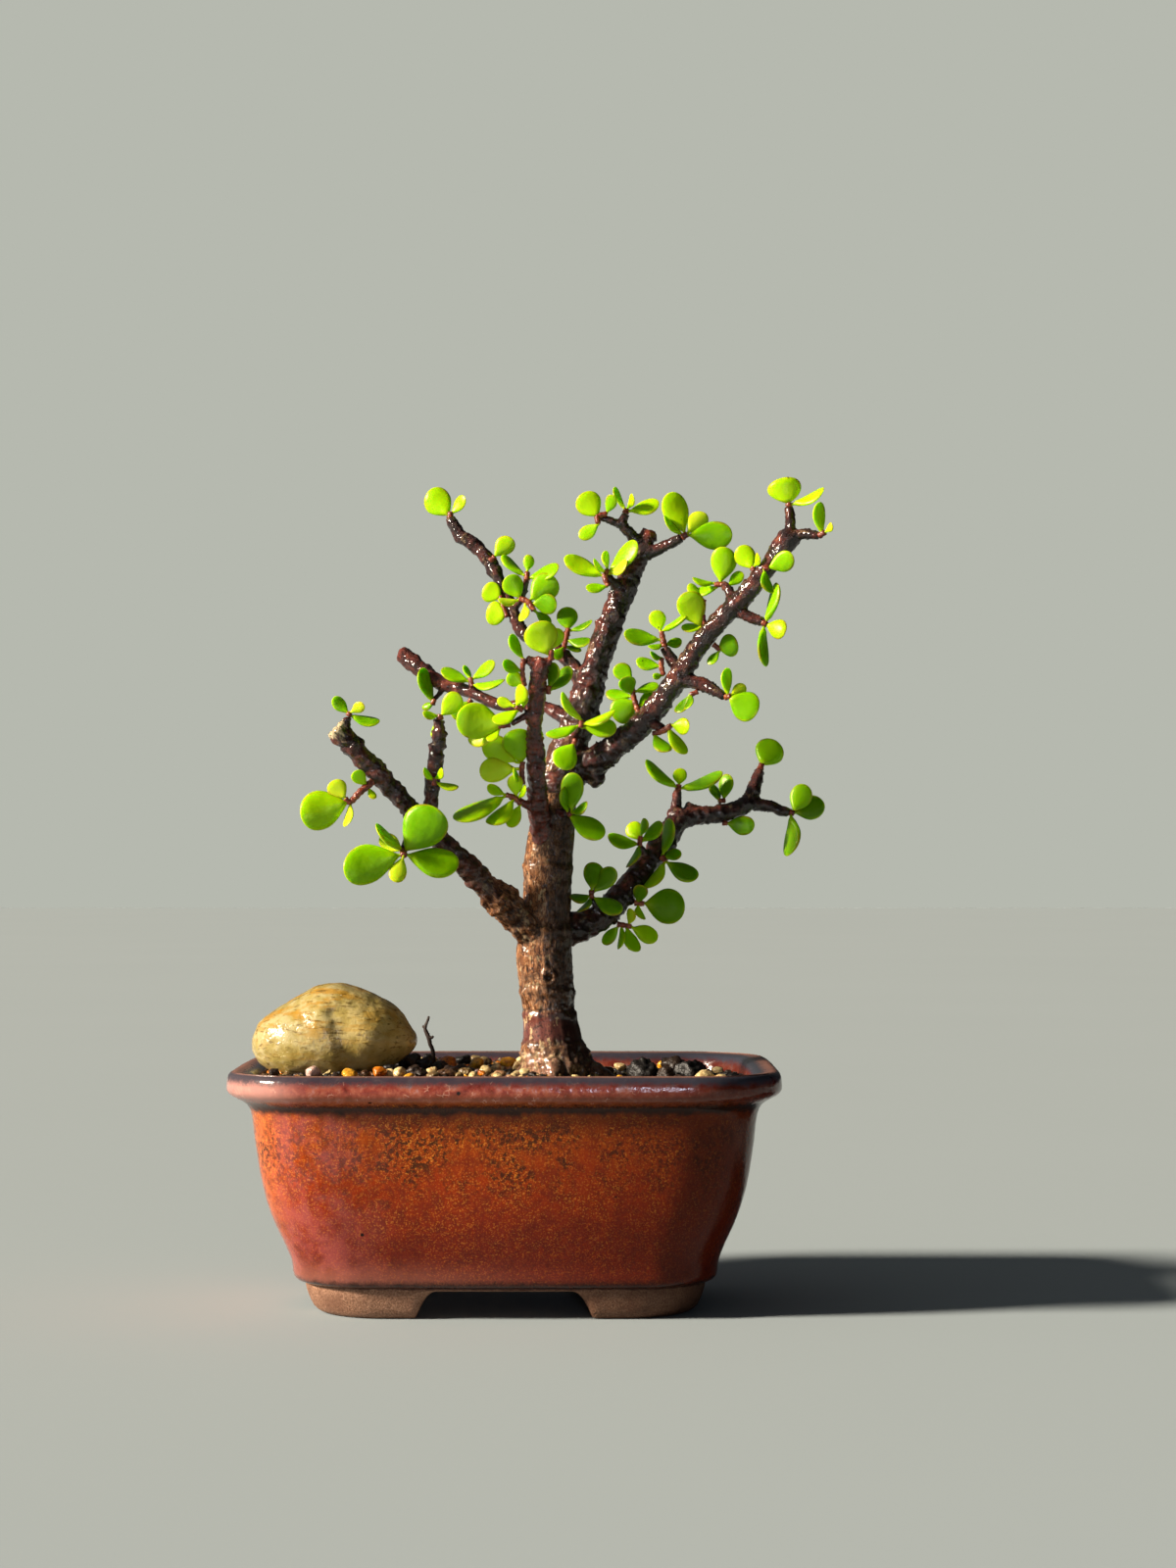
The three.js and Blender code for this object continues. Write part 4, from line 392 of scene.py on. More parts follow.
# The young leafy shoots of each branch: [name, shade, rows of its stem as above, leaves]. A
# leaf is [root x, root z, tip x, tip z, width as seen, how much further back the tip lies
# than the root], and a shade of its own where it differs from the shoot's.
SHOOTS = [["upperLeft", [
  ["leaves_upper_left_tip", "lime", [[-15.9, 214.6, 2.2, 16], [-15.9, 216.4, 1.6, 16]], [
    [-16.2, 215.4, -21.5, 222.8, 7.8, 1], [-15.6, 215.8, -11.9, 220.8, 3.2, -3]]],
  ["leaf_upper_left_bend", "lime", [[-4.8, 202.8, 1.8, 12.4], [-3.4, 204, 1.5, 12]], [
    [-3.6, 204, 1.5, 209, 5.4, -1]]],
  ["leaves_crown_left_high", "fresh", [[5.4, 197.4, 1.8, 9], [5.6, 199.8, 1.4, 9]], [
    [4.8, 198.8, -0.9, 204.6, 2.8, 3], [5.5, 199.8, 6, 204.6, 3.2, 0],
    [5.8, 198, 14.4, 201.3, 4, -3]]],
  ["leaves_crown_left_low", "leaf",
    [[3.4, 192.2, 1.6, 8], [5.8, 191.4, 1.8, 7.6], [7.4, 189, 1.5, 7.4]], [
      [6.5, 192, 13.5, 198, 8, -1, "fresh"], [6.9, 191, 13.8, 190.2, 5.8, -2],
      [3.6, 192.4, 0.3, 198.8, 6, -2, "fresh"],
      [3, 191.8, -2.5, 191.6, 2.5, -4, "pale"], [5, 190.6, 4.4, 186.2, 3, -4, "pale"],
      [7.8, 188.8, 12.2, 185.3, 3, 2]]],
  ["leaves_crown_left_outer", "lime",
    [[-1.9, 193, 1.4, 10.6], [-1.2, 190, 1.5, 10.4], [0, 187.2, 1.4, 10]], [
      [-1.9, 192.4, -6.4, 195.8, 6, 0], [-0.4, 187.6, -6, 188, 6.8, 1]]],
  ["leaves_crown_inner", "dark",
    [[17, 183.8, 1.5, 8.2], [16.4, 181, 1.5, 7], [15.8, 178.6, 1.4, 6]], [
    [17, 183.6, 16.5, 190, 6, 0], [17.6, 183.4, 23.7, 186, 1.9, -3],
    [16.6, 180.6, 23.2, 180.4, 3, -3], [16, 179, 20.7, 178, 1.8, 2],
    [15.6, 178.8, 12.8, 175.6, 3.2, -3]]],
]], ["slender", [
  ["leaves_slender_top", "lime", [[12.2, 175.2, 1.9, -16], [12.2, 178, 1.5, -16.4]], [
    [11.4, 176.6, 8, 185.8, 9.5, 0], [12.2, 178, 14.5, 184, 5, 2]]],
  ["leaves_slender_top_left", "fresh",
    [[4.6, 175.6, 1.7, -16], [4.2, 172, 1.4, -16.2], [4.8, 168, 1.5, -15.4]], [
      [4.5, 175.4, 1.2, 182.5, 3.2, 2], [4, 172, -1.3, 174.5, 3.5, -2],
      [4.6, 168.2, 0, 171, 4.5, 0]]],
  ["leaves_slender_right", "dark", [[11.4, 165.8, 1.5, -13.2], [11.6, 168, 1.4, -13.6]], [
    [11.5, 167.4, 13.5, 174.3, 3.8, -2], [11.7, 166.6, 17.5, 173.3, 4.2, 3]]],
  ["leaves_slender_left", "lime", [[4.3, 161.2, 1.6, -15], [2.2, 162.2, 1.4, -15.4]], [
    [2.4, 162, 4.6, 168, 4, -3], [1.8, 162.4, -2.8, 164.2, 3, 1], [3.2, 161.2, -4, 157.9, 3.8, -3],
    [4.3, 161.8, 5.2, 165.4, 2, 1]]],
  ["leaves_slender_big", "lime", [[0.8, 157.2, 1.7, -15.2], [-2.6, 156.6, 1.5, -15.6]], [
    [-0.8, 156.9, -14.2, 159, 10.3, -1], [-2.6, 156.2, -11, 153, 5, 4, "pale"],
    [-2.2, 156, -5.6, 152.6, 2.5, -2]]],
  ["leaves_slender_middle", "fresh",
    [[4.3, 146.8, 1.6, -11], [4, 144, 1.6, -11], [4.4, 140.6, 1.4, -10.4]], [
      [4, 146.4, 2.5, 156, 8.7, 0, "fresh"], [2.6, 146.6, -6.5, 153, 7.5, 2, "lime"],
      [2.8, 144.8, -7.8, 144, 7, -1, "pale"],
      [3.8, 141.6, 1.8, 144.2, 2.2, -5], [4, 140.6, 2.6, 138.6, 2, -2]]],
  ["leaves_slender_low", "lime",
    [[-0.4, 137.6, 1.5, -12], [2.4, 136.6, 1.6, -12], [3.6, 134.9, 1.5, -12]], [
      [2.5, 137, 2, 143.2, 4.5, -1], [-0.6, 137.6, -5.5, 140.3, 3, 2],
      [-0.6, 137.2, -15, 130.8, 5.2, -1], [1.8, 136.4, -5.5, 129.5, 4.7, -3],
      [3.6, 134.9, 0.5, 128.5, 4, -1], [3, 136.6, 5.2, 140, 1.8, -3]]],
]], ["trunk", [
  ["leaves_centre_front", "fresh", [[20.4, 156.4, 1.6, -9.6], [20.8, 158.4, 1.4, -10]], [
    [20.8, 158.3, 15.3, 166.3, 2.5, -1, "pale"], [21, 157.3, 30, 160.8, 2.7, -4, "lime"],
    [21, 156.4, 30.5, 156.2, 5.5, 0], [19.8, 156.8, 10.9, 154, 3.2, -3]]],
  ["leaf_centre_round", "leaf", [[19, 153, 1.6, -5], [18.4, 151.6, 1.4, -5.6]], [
    [18.5, 151.8, 14.5, 145, 7.2, -2, "fresh"]]],
  ["leaves_trunk_twig", "leaf", [[17, 132, 1.7, -8], [17.8, 132.6, 1.5, -8.4]], [
    [17, 132.6, 15.8, 139.8, 2.6, -2], [18, 132.8, 18, 143.8, 6.5, 1],
    [18, 132.5, 22.4, 135, 2.8, -4], [17, 132, 27, 126, 6.3, -1]]],
  ["leaves_leader_left", "fresh",
    [[28.2, 195.8, 1.5, -1.2], [27.2, 198.3, 1.7, -0.8], [28, 200.4, 1.4, 0]], [
      [26.8, 198.6, 16, 204, 5, 1, "lime"], [27.4, 199.6, 24, 203.2, 1.8, -3, "pale"],
      [28, 200.4, 27.7, 205.7, 2.3, 1, "pale"], [28.3, 199.8, 36, 208.3, 5, -2],
      [28.3, 199.2, 33.4, 202.6, 3, -4, "pale"], [28, 195.8, 21.9, 195.2, 2.9, -1]]],
  ["leaves_top_left", "fresh",
    [[27.8, 216, 1.4, 1.4], [25.2, 215.2, 1.7, 1.4], [25.4, 213.2, 1.4, 0.6]], [
      [25.3, 215.2, 20.5, 221.5, 7.3, 0, "lime"], [27.6, 216, 29.3, 221.3, 3.4, -2],
      [25.6, 213.2, 20, 209.3, 4, 1]]],
  ["leaves_top_middle", "lime", [[32.9, 216, 2, 3], [33.3, 217.4, 1.5, 3]], [
    [32.9, 217.2, 30.2, 223.5, 2, 2], [33.4, 217.3, 34.9, 221.4, 2, -3],
    [33.9, 216.7, 42.3, 219.3, 4.3, 0]]],
  ["leaves_top_right", "fresh", [[48.7, 209.4, 2.2, 1], [50.2, 210.3, 1.7, 0.6]], [
    [49.6, 210.4, 45.5, 222, 7.3, 1, "lime"], [48.8, 210.2, 43.7, 215.4, 2, -3, "lime"],
    [50.3, 210.5, 55.5, 216, 5.5, 2, "pale"], [50.2, 210, 62.8, 210, 8, -1, "leaf"]]],
]], ["right", [
  ["leaves_far_right_top", "fresh", [[78.4, 218, 2, -9], [78.7, 219.2, 1.6, -9]], [
    [78.3, 218.8, 77.5, 226.2, 9.5, 0, "lime"], [79.3, 218.6, 88.4, 223, 2.9, -2, "lime"]]],
  ["leaves_far_right_tip", "leaf", [[87, 209.8, 1.9, -12.8], [88.6, 210.8, 1.6, -13.4]], [
    [87.9, 210.2, 87.3, 219.3, 3.6, 1, "lime"], [88.6, 210.8, 90.6, 213.2, 2, -2, "pale"]]],
  ["leaves_right_front", "leaf", [[72.9, 201, 1.6, -12.2], [71.4, 200.6, 1.6, -12.4]], [
    [72.7, 200.8, 79.8, 204.2, 5.8, -2, "fresh"], [71.7, 200.6, 73.8, 193.8, 3, -2]]],
  ["leaves_right_back", "lime", [[68.5, 200, 1.7, -9], [68.7, 201.3, 1.5, -9]], [
    [68.4, 200.6, 64.8, 207, 6, 2], [68.9, 201.2, 70, 204.8, 2, -3]]],
  ["leaves_right_middle", "leaf", [[71.2, 185.7, 2, -10], [72.4, 185, 1.7, -10.4]], [
    [72, 185.6, 75, 196.8, 3.2, 2], [71.6, 184.8, 72, 173.3, 3.2, -2],
    [72.2, 185, 77.6, 182.8, 5.6, -3, "lime"]]],
  ["leaves_right_inner", "fresh",
    [[62, 195.4, 1.4, -3.4], [60.2, 196.2, 1.8, -3.2], [57.8, 196.2, 1.4, -3]], [
      [59.4, 196.6, 60.5, 206.8, 7.3, 1], [57.8, 196.6, 51.6, 198, 2, -2],
      [58.6, 195.6, 52.3, 194.6, 2.8, 3], [61.6, 195.8, 65.6, 199.7, 3.4, 2]]],
  ["leaves_right_left", "lime",
    [[55, 184.4, 1.8, -4.2], [54.5, 188, 1.5, -4], [54.9, 192, 1.3, -4]], [
      [54.2, 184.4, 49.4, 194, 8, -2], [54.8, 191.8, 51, 196.6, 3, 3],
      [54.6, 184.4, 48.6, 184.6, 2.6, 2]]],
  ["leaves_fork_upper", "leaf",
    [[43.8, 178.8, 2, -2], [43.4, 181, 1.7, -1.8], [43, 183.2, 1.4, -1.6]], [
    [43.2, 183.2, 51.2, 189, 2, -2, "fresh"], [42.8, 180.8, 32.5, 182.5, 4.7, -2],
    [42.8, 183.2, 41, 189, 4.8, 1, "lime"], [44.1, 179.6, 48.6, 180.8, 3, 3],
    [43.2, 179.6, 39.6, 178.6, 2, -4]]],
  ["leaves_fork_lower", "leaf",
    [[43.1, 175.8, 1.4, -4.4], [43, 173.2, 1.6, -4.6], [43.6, 170.9, 1.4, -5]], [
    [43, 175.6, 40, 176.8, 2, -4], [42.8, 173.4, 36, 175.3, 3.6, 1],
    [43.4, 171, 40.6, 170.4, 2, -2]]],
  ["leaves_between", "leaf",
    [[36.7, 160.5, 1.8, -1.4], [35.2, 165, 1.6, 0], [34.8, 169.4, 1.4, 1]], [
    [34.8, 169.4, 30, 173.5, 5, 1], [34.6, 165.6, 32.6, 170.4, 5, -4],
    [35.6, 166.4, 42, 168.6, 3, 3],
    [36.4, 161.8, 40.4, 166.6, 3.6, 3], [34.8, 165, 27.6, 166.4, 3.5, 3],
    [35.4, 163.8, 30, 158.5, 7.5, -1]]],
  ["leaves_right_low", "dark", [[60.7, 164.8, 1.9, -9.8], [62.4, 165.1, 1.6, -10.2]], [
    [61.6, 165.2, 61.6, 173, 3.2, 2, "lime"], [62.4, 165.4, 66.5, 168, 3.8, 3, "pale"],
    [61.8, 164.8, 69.5, 160, 8.5, -2, "leaf"]]],
  ["leaves_right_under", "leaf", [[57.4, 179.6, 1.6, -6.6], [59.4, 178, 1.5, -6.6]], [
    [59, 178.4, 64.3, 180, 6.5, 0], [59.2, 177.8, 56, 174, 2.5, -1]]],
  ["leaves_right_notch", "dark", [[53.2, 166.4, 1.5, -7.6], [51, 165.4, 1.4, -8]], [
    [51.4, 165.6, 49.8, 161.4, 2, -3], [51, 165.5, 46.8, 160.6, 2.8, -1]]],
  ["leaves_bent_twig", "leaf",
    [[40.6, 154.6, 1.5, -8], [43.4, 155.4, 1.8, -8.4], [45.8, 157, 1.5, -8.8]], [
      [44.6, 156.4, 50, 149, 3.7, 0, "lime"], [45.8, 157, 50.8, 156.5, 4.8, -3, "lime"],
      [40.7, 154.6, 45, 149.6, 4, -4]]],
]], ["farLeft", [
  ["leaves_far_left_back", "fresh", [[-10.3, 170, 1.6, 8.8], [-9.8, 167.6, 1.4, 8]], [
    [-10.6, 169.2, -18.3, 172.8, 3.6, -1], [-10.4, 170, -11.5, 173.6, 2, 3],
    [-9.9, 169.8, -3.6, 174.8, 3.5, 0], [-9.6, 168.2, -1, 169.3, 2.6, -3]]],
  ["leaf_far_left_hanging", "leaf", [[-10, 164.2, 1.6, 10.2], [-10.8, 163.2, 1.4, 10]], [
    [-10.6, 163.6, -15, 158.8, 5, -1]]],
  ["leaves_far_left_twig", "leaf", [[-20.5, 164.1, 1.6, 9.8], [-20.8, 162.7, 1.4, 9.4]], [
    [-20.7, 163.3, -23.7, 173, 4.1, -2], [-20.6, 163, -23.8, 161.8, 2.2, 1]]],
]], ["left", [
  ["leaves_upright_top", "lime", [[-18.8, 158.6, 2.2, -8], [-18.8, 160, 1.6, -8]], [
    [-18.5, 159.6, -13.5, 165.8, 6, 0], [-19.2, 159.6, -23.6, 160.2, 2.5, -2],
    [-19, 159.2, -21.4, 154.2, 2, 4]]],
  ["leaves_upright_middle", "lime", [[-20.4, 140.2, 1.6, -12.6], [-20.4, 142.2, 1.4, -12.6]], [
    [-20.6, 141.6, -23.4, 144.8, 2, -2], [-20.2, 142, -18, 144.6, 2.3, -3],
    [-20, 141, -13.6, 139.7, 2.2, -1]]],
  ["leaves_left_outer", "lime",
    [[-37.4, 141.4, 2.2, -13.6], [-41, 138.4, 2, -14.8], [-43.8, 135.6, 1.8, -14.8],
      [-45.2, 136.6, 1.4, -15]], [
      [-44.2, 135.6, -57.5, 131, 11, -1], [-45.2, 136.6, -49.5, 141, 5.5, 1, "pale"],
      [-43.8, 135.2, -45.3, 128.7, 2.4, -3, "pale"], [-39.2, 140, -43, 143.9, 4, -2],
      [-38.8, 139.6, -37, 136.4, 2.2, -2]]],
  ["leaves_left_cut_end", "leaf", [[-44.4, 159.5, 1.7, -13.6], [-43.9, 160.6, 1.5, -13.6]], [
    [-44.2, 160.2, -48.5, 164.8, 3.7, 1], [-43.8, 160.4, -40, 162.8, 3.2, -2, "pale"],
    [-43.9, 159.8, -35.6, 158, 3.1, -2]]],
  ["leaves_left_front", "dark", [[-29, 122, 2, -19], [-28.9, 120.6, 1.8, -22.4]], [
    [-28.6, 121.8, -18.5, 133, 12.5, -2, "leaf"], [-28.4, 121, -13.5, 118.5, 8.5, 1, "fresh"],
    [-29.4, 120.8, -45.5, 115.5, 11, -1, "fresh"], [-29.3, 121.8, -35.5, 126, 5, 4, "pale"],
    [-29, 120.4, -31.4, 113.2, 5, -2, "pale"], [-29.2, 122.2, -36.8, 129, 3, -3, "lime"]]],
]], ["lowerRight", [
  ["leaves_lower_right_twig", "leaf", [[47.6, 138.8, 1.9, 9], [47.9, 140.4, 1.5, 8.8]], [
    [47.4, 139.6, 38.6, 147.3, 3.3, -2, "fresh"], [47.9, 140.4, 48.5, 145, 4, 1, "lime"],
    [48.2, 139.4, 60, 144, 3.6, -2]]],
  ["leaves_lower_right_back", "dark", [[59, 135.8, 1.5, 11], [60.6, 136, 1.4, 11.4]], [
    [60.3, 136.2, 61, 143.4, 4.2, 1], [59.2, 136, 57.3, 140.6, 2.8, 4]]],
  ["leaf_lower_right_under", "leaf", [[60, 129.8, 1.6, 10.4], [61.4, 129.6, 1.4, 10.2]], [
    [61, 129.7, 69, 129, 5.5, -2]]],
  ["leaf_lower_right_top", "leaf", [[70.5, 144.6, 2, 12], [71, 146.2, 1.6, 12]], [
    [70.9, 145.9, 75, 152.7, 8.3, 0, "fresh"]]],
  ["leaves_lower_right_end", "dark", [[78.6, 132.8, 2, 10], [80, 132.4, 1.6, 9.8]], [
    [79.7, 132.7, 83.3, 140.4, 6.2, -1, "fresh"], [80, 132.5, 88.5, 135, 7, 2],
    [79, 132.2, 78.3, 120.5, 4.6, -2, "fresh"]]],
  ["leaves_lower_right_inner", "leaf", [[36.8, 123.3, 1.7, 3.8], [37.2, 126, 1.4, 3.4]], [
    [36.8, 123.8, 28, 126, 4, -1], [36.9, 125, 34.6, 130, 5, 2, "lime"],
    [37.2, 126, 38.5, 131, 2.5, -3],
    [37.2, 124.4, 43, 130, 3.8, -3], [36.8, 123.4, 33.6, 117.4, 2.2, -3]]],
  ["leaves_lower_right_front", "dark", [[43, 120.3, 1.8, 3.8], [44.2, 119, 1.5, 3.2]], [
    [43.3, 120.8, 45.4, 131, 3.7, -4], [43.8, 120, 48.4, 121.8, 3.5, 2],
    [44.2, 119, 53.3, 114.8, 5.2, -1], [43.9, 118.8, 38.5, 111.4, 3.4, -3, "lime"]]],
  ["leaves_lower_right_dark", "dark", [[35.4, 107.4, 1.7, 1.4], [38.2, 107.2, 1.6, 0.6]], [
    [38.2, 107.3, 49.5, 105.5, 10, -1], [36.4, 107, 37.4, 112.4, 4.2, -4],
    [36.4, 107, 37.8, 102.8, 2.4, -4, "lime"]]],
  ["leaves_lower_right_low", "fresh", [[30.6, 101.5, 1.7, 2.6], [34.6, 100.8, 1.5, 1.8]], [
    [33.8, 101.2, 34.6, 105.8, 2.8, -3, "pale"], [34.6, 100.7, 42, 97.5, 5, 1, "lime"],
    [33.2, 100.8, 36.5, 93.8, 4, -3], [31.8, 101, 31, 94.5, 2, -2],
    [31, 101, 26.6, 96, 3.5, 2]]],
  ["leaves_trunk_right", "dark", [[23.4, 108.8, 1.7, -1.6], [23.5, 111, 1.5, -3]], [
    [23.8, 109, 32, 105, 4.8, -3], [23.5, 111, 24, 118.8, 6, 0], [23.8, 110.2, 30, 117, 5.5, -3],
    [23.2, 109.4, 17.7, 108.5, 3.2, -4], [23.3, 108.9, 19.9, 104.9, 2, -3]]],
]]]


# Leaves

YOUTH = {"pale": 1.0, "lime": 0.74, "fresh": 0.5, "leaf": 0.28, "dark": 0.06}
BLADE_SPREAD = 0.62      # a full leaf's width over its length
BLADE_CURVE = 0.07       # how far the middle bows, over the length
BLADE_CUP = (-0.12, 0.06)          # how far the edges may lift, over the half width
BLADE_SKEW = 0.07        # how far the middle may lie to one side, over the width
BLADE_DEEP = 0.27        # thickness over the width
LEAF_DEEP = 3.1          # thickness of a large leaf
LEAF_THIN = 0.9          # the least thickness of a leaf
LEAF_RINGS = 19
LEAF_TURNS = [-2 * math.pi * k / 18 for k in range(18)]     # round a ring of a leaf
NECK = 0.45              # radius of the short leaf stalk
NECK_SHARE = 0.14        # how much of the leaf its stalk takes
STEM_STEP = 0.5          # mm between the rings of a young stem
STEM_SIDES = 10
STEM_SWELL = 0.12        # how much a young stem swells and narrows, over its radius


def nearest_on(path, x, z):
    """The point of a young stem nearest to a leaf's root, as seen from the front."""
    best = None
    for (x0, z0, _, d0), (x1, z1, _, d1) in zip(path, path[1:]):
        run = ((x - x0) * (x1 - x0) + (z - z0) * (z1 - z0)) / ((x1 - x0) ** 2 + (z1 - z0) ** 2)
        share = min(0.92, max(0.08, run))
        at = (x0 + share * (x1 - x0), z0 + share * (z1 - z0), d0 + share * (d1 - d0))
        far = math.hypot(x - at[0], z - at[1])
        if best is None or far < best[0]:
            best = (far, at)
    return best[1]


def blade_outline(share, fullness):
    """Half width of a fleshy blade: a wedge from the stalk that rounds over at the tip."""
    widest = 0.6 - 0.04 * fullness
    if share < widest:
        return math.sin(0.5 * math.pi * share / widest) ** (1.25 - 0.5 * fullness)
    return max(0.0, 1 - ((share - widest) / (1 - widest)) ** 2.25) ** 0.5


def leaf_section(share, wide, thick, fullness):
    """Half width and half thickness of a leaf, at a share of its length."""
    half = max(NECK * (1 - share) ** 2, blade_outline(share, fullness) * wide / 2)
    deep = thick / 2 * (1 - 0.35 * share ** 3) * min(1, (1 - share) * 5) ** 0.5
    if share < 0.4:
        deep = max(deep, NECK * (1 - share))
    deep = NECK + (deep - NECK) * min(1, share / NECK_SHARE)
    return half, min(deep, half)


def leaf_stance(root, tip, seen, wide, deep):
    """How a leaf lies: along, out of its face and across. It keeps its natural width, and is
    turned on its own axis until it looks as narrow as it is seen."""
    axis = (tip - root).normalized()
    sight = (EYE - root).normalized()
    facing = (sight - axis * sight.dot(axis)).normalized()
    across = axis.cross(facing)
    upward = 1 if across.z >= 0 else -1
    flatness = (seen ** 2 - deep ** 2) / max(1e-6, wide ** 2 - deep ** 2)
    turn = math.acos(math.sqrt(min(1, max(0, flatness))))
    normal = facing * math.cos(turn) + across * (upward * math.sin(turn))
    return axis, normal, axis.cross(normal)


def add_leaf(body, looks, path, row, lean, youth, draw):
    """One leaf, from its root on the stem to its tip, with what its material reads."""
    root_x, root_z, tip_x, tip_z, width, back = row[:6]
    stem_x, stem_z, depth = nearest_on(path, root_x, root_z)
    foot = place(stem_x, stem_z, depth, lean)
    root = place(root_x, root_z, depth, lean)
    tip = place(tip_x, tip_z, depth + back, lean)
    length = (tip - root).length
    seen = width * (1 - root.y / EYE.y)
    wide = max(seen, BLADE_SPREAD * length)
    deep_most = min(LEAF_DEEP, BLADE_DEEP * wide, seen)
    axis, normal, sideways = leaf_stance(root, tip, seen, wide, deep_most)
    fullness = min(1, max(0, (wide / length - 0.6) / 0.5))
    cup = draw.uniform(*BLADE_CUP)
    skew = draw.uniform(-BLADE_SKEW, BLADE_SKEW)
    curl = BLADE_CURVE * draw.uniform(0.7, 1.3)

    rings = [[foot + sideways * (NECK * math.cos(turn)) + normal * (NECK * math.sin(turn))
              for turn in LEAF_TURNS]]
    looks.extend([(NECK, 0.0, youth)] * len(LEAF_TURNS))
    for step in range(LEAF_RINGS):
        share = 0.5 - 0.5 * math.cos(math.pi * (0.04 + 0.94 * step / (LEAF_RINGS - 1)))
        half, deep = leaf_section(share, wide, max(LEAF_THIN, deep_most), fullness)
        centre = root + axis * (share * length)
        centre = centre - normal * (curl * length * 4 * share * (1 - share))
        centre = centre + sideways * (skew * wide * math.sin(math.pi * share))
        ring = []
        for turn in LEAF_TURNS:
            out = math.cos(turn)
            lift = cup * half * out * out
            ring.append(centre + sideways * (half * out) + normal * (deep * math.sin(turn) + lift))
            looks.append((min(half * (1 - abs(out)), (1 - share) * length), share, youth))
        rings.append(ring)
    body.loft(rings, 0, start=foot, end=tip)
    looks.extend([(NECK, 0.0, youth), (0.0, 1.0, youth)])


def make_shoot(name, shade, path, leaves, lean, materials):
    """A young stem with its leaves. Leaf material first, stem material second."""
    draw = random.Random(name)
    body = Body()
    looks = []
    for row in leaves:
        youth = YOUTH[row[6]] if len(row) > 6 else YOUTH[shade] + draw.uniform(-0.1, 0.1)
        add_leaf(body, looks, path, row, lean, min(1, max(0, youth)), draw)
    line = smooth_path(path, lean, STEM_STEP)
    line = [(spot, radius * (1 + STEM_SWELL * math.sin(i * 2.1)))
            for i, (spot, radius) in enumerate(line)]
    rings = tube_rings(line, STEM_SIDES)
    body.loft(rings, 1)
    looks.extend([(1.0, 0.0, YOUTH[shade])] * (len(rings) * STEM_SIDES + 2))
    piece = body.piece(name + "_living", materials)
    for field, values in zip(("rim_mm", "along", "youth"), zip(*looks)):
        set_attribute(piece, field, values)
    return piece


# Pot

POT_NARROWER = 19.5      # how much less the pot's half depth is than its half width
UNDERSIDE = 4.0          # underside of the floor, at the top of the feet
WALL_BOW = 0.022         # how much the walls stand out in their middle, over their distance
INNER_CORNER = 4         # how much tighter the corners are on the inside
CORNER_PARTS = 16
LONG_PARTS = 76
SHORT_PARTS = 46

# Half width by height. Over the feet the wall steps in at a groove, and under the rim it
# curves out into the roll.
POT_OUTSIDE = [
    (-3.8, 50.2), (-3.4, 51.2), (-2.8, 52.0), (-1.8, 52.8), (-0.4, 53.5), (1.2, 54.1),
    (2.8, 54.6), (3.9, 54.8), (4.5, 54.7), (4.8, 54.9), (5.1, 56.1), (5.7, 57.2), (6.6, 57.9),
    (7.8, 58.2), (9.2, 58.3), (11.0, 58.6), (13.0, 59.3), (15.2, 60.1), (17.7, 61.2), (20.5, 62.4),
    (23.6, 63.6), (27.0, 64.7), (31.0, 65.7), (35.0, 66.5), (39.5, 67.2), (44.0, 67.8),
    (48.0, 68.2), (50.8, 68.6), (52.5, 69.1), (53.7, 69.9), (54.6, 71.0), (55.4, 72.3),
    (56.1, 73.5), (56.9, 74.4), (57.8, 74.9), (58.8, 74.95), (59.9, 74.88), (60.9, 74.76),
    (61.8, 74.5), (62.4, 74.0), (62.75, 73.2),
]
POT_INSIDE = [
    (62.75, 72.2), (62.6, 70.8), (62.4, 69.3), (62.1, 68.3), (61.6, 67.7), (60.6, 67.3),
    (58.0, 66.5), (54.0, 65.4), (50.0, 64.3), (44.0, 63.1), (37.0, 61.9), (30.0, 60.7),
    (22.0, 58.2), (15.0, 55.7), (11.6, 54.3), (9.8, 53.0), (9.2, 51.4),
]
POT_FLOOR = 9.2
FLOOR_HALVES = (46, 38, 30, 24)    # half widths of the rings on the floor
FLOOR_CORNER = 0.24                # corner radius of those, over the half width

# The underside between the feet, as (half width, corner radius), the feet's inner faces, as
# (height, half width), and the soles they stand on, as (half width, corner radius).
UNDER_RINGS = [(24, 3), (30, 6), (36, 8), (41, 9.5)]
FOOT_INSIDE = [(3.9, 42.9), (3.3, 43.4), (1.5, 43.7), (-1.5, 43.9), (-3.1, 44.1), (-3.6, 44.5)]
FOOT_CORNER = 10
SOLE_RINGS = [(45.2, 11), (49.0, 15.5)]

# The wall is a little uneven, but not its lowest rows, which are the feet, nor the floor.
WALL_FROM = 9
FLOOR_FROM = -6
WALL_WAVES = [(0.28, 0.055), (0.07, 0.22)]


def corner_radius(half):
    """Corners are rounder where the pot is wider."""
    return 17 + (half - 52) * 0.3


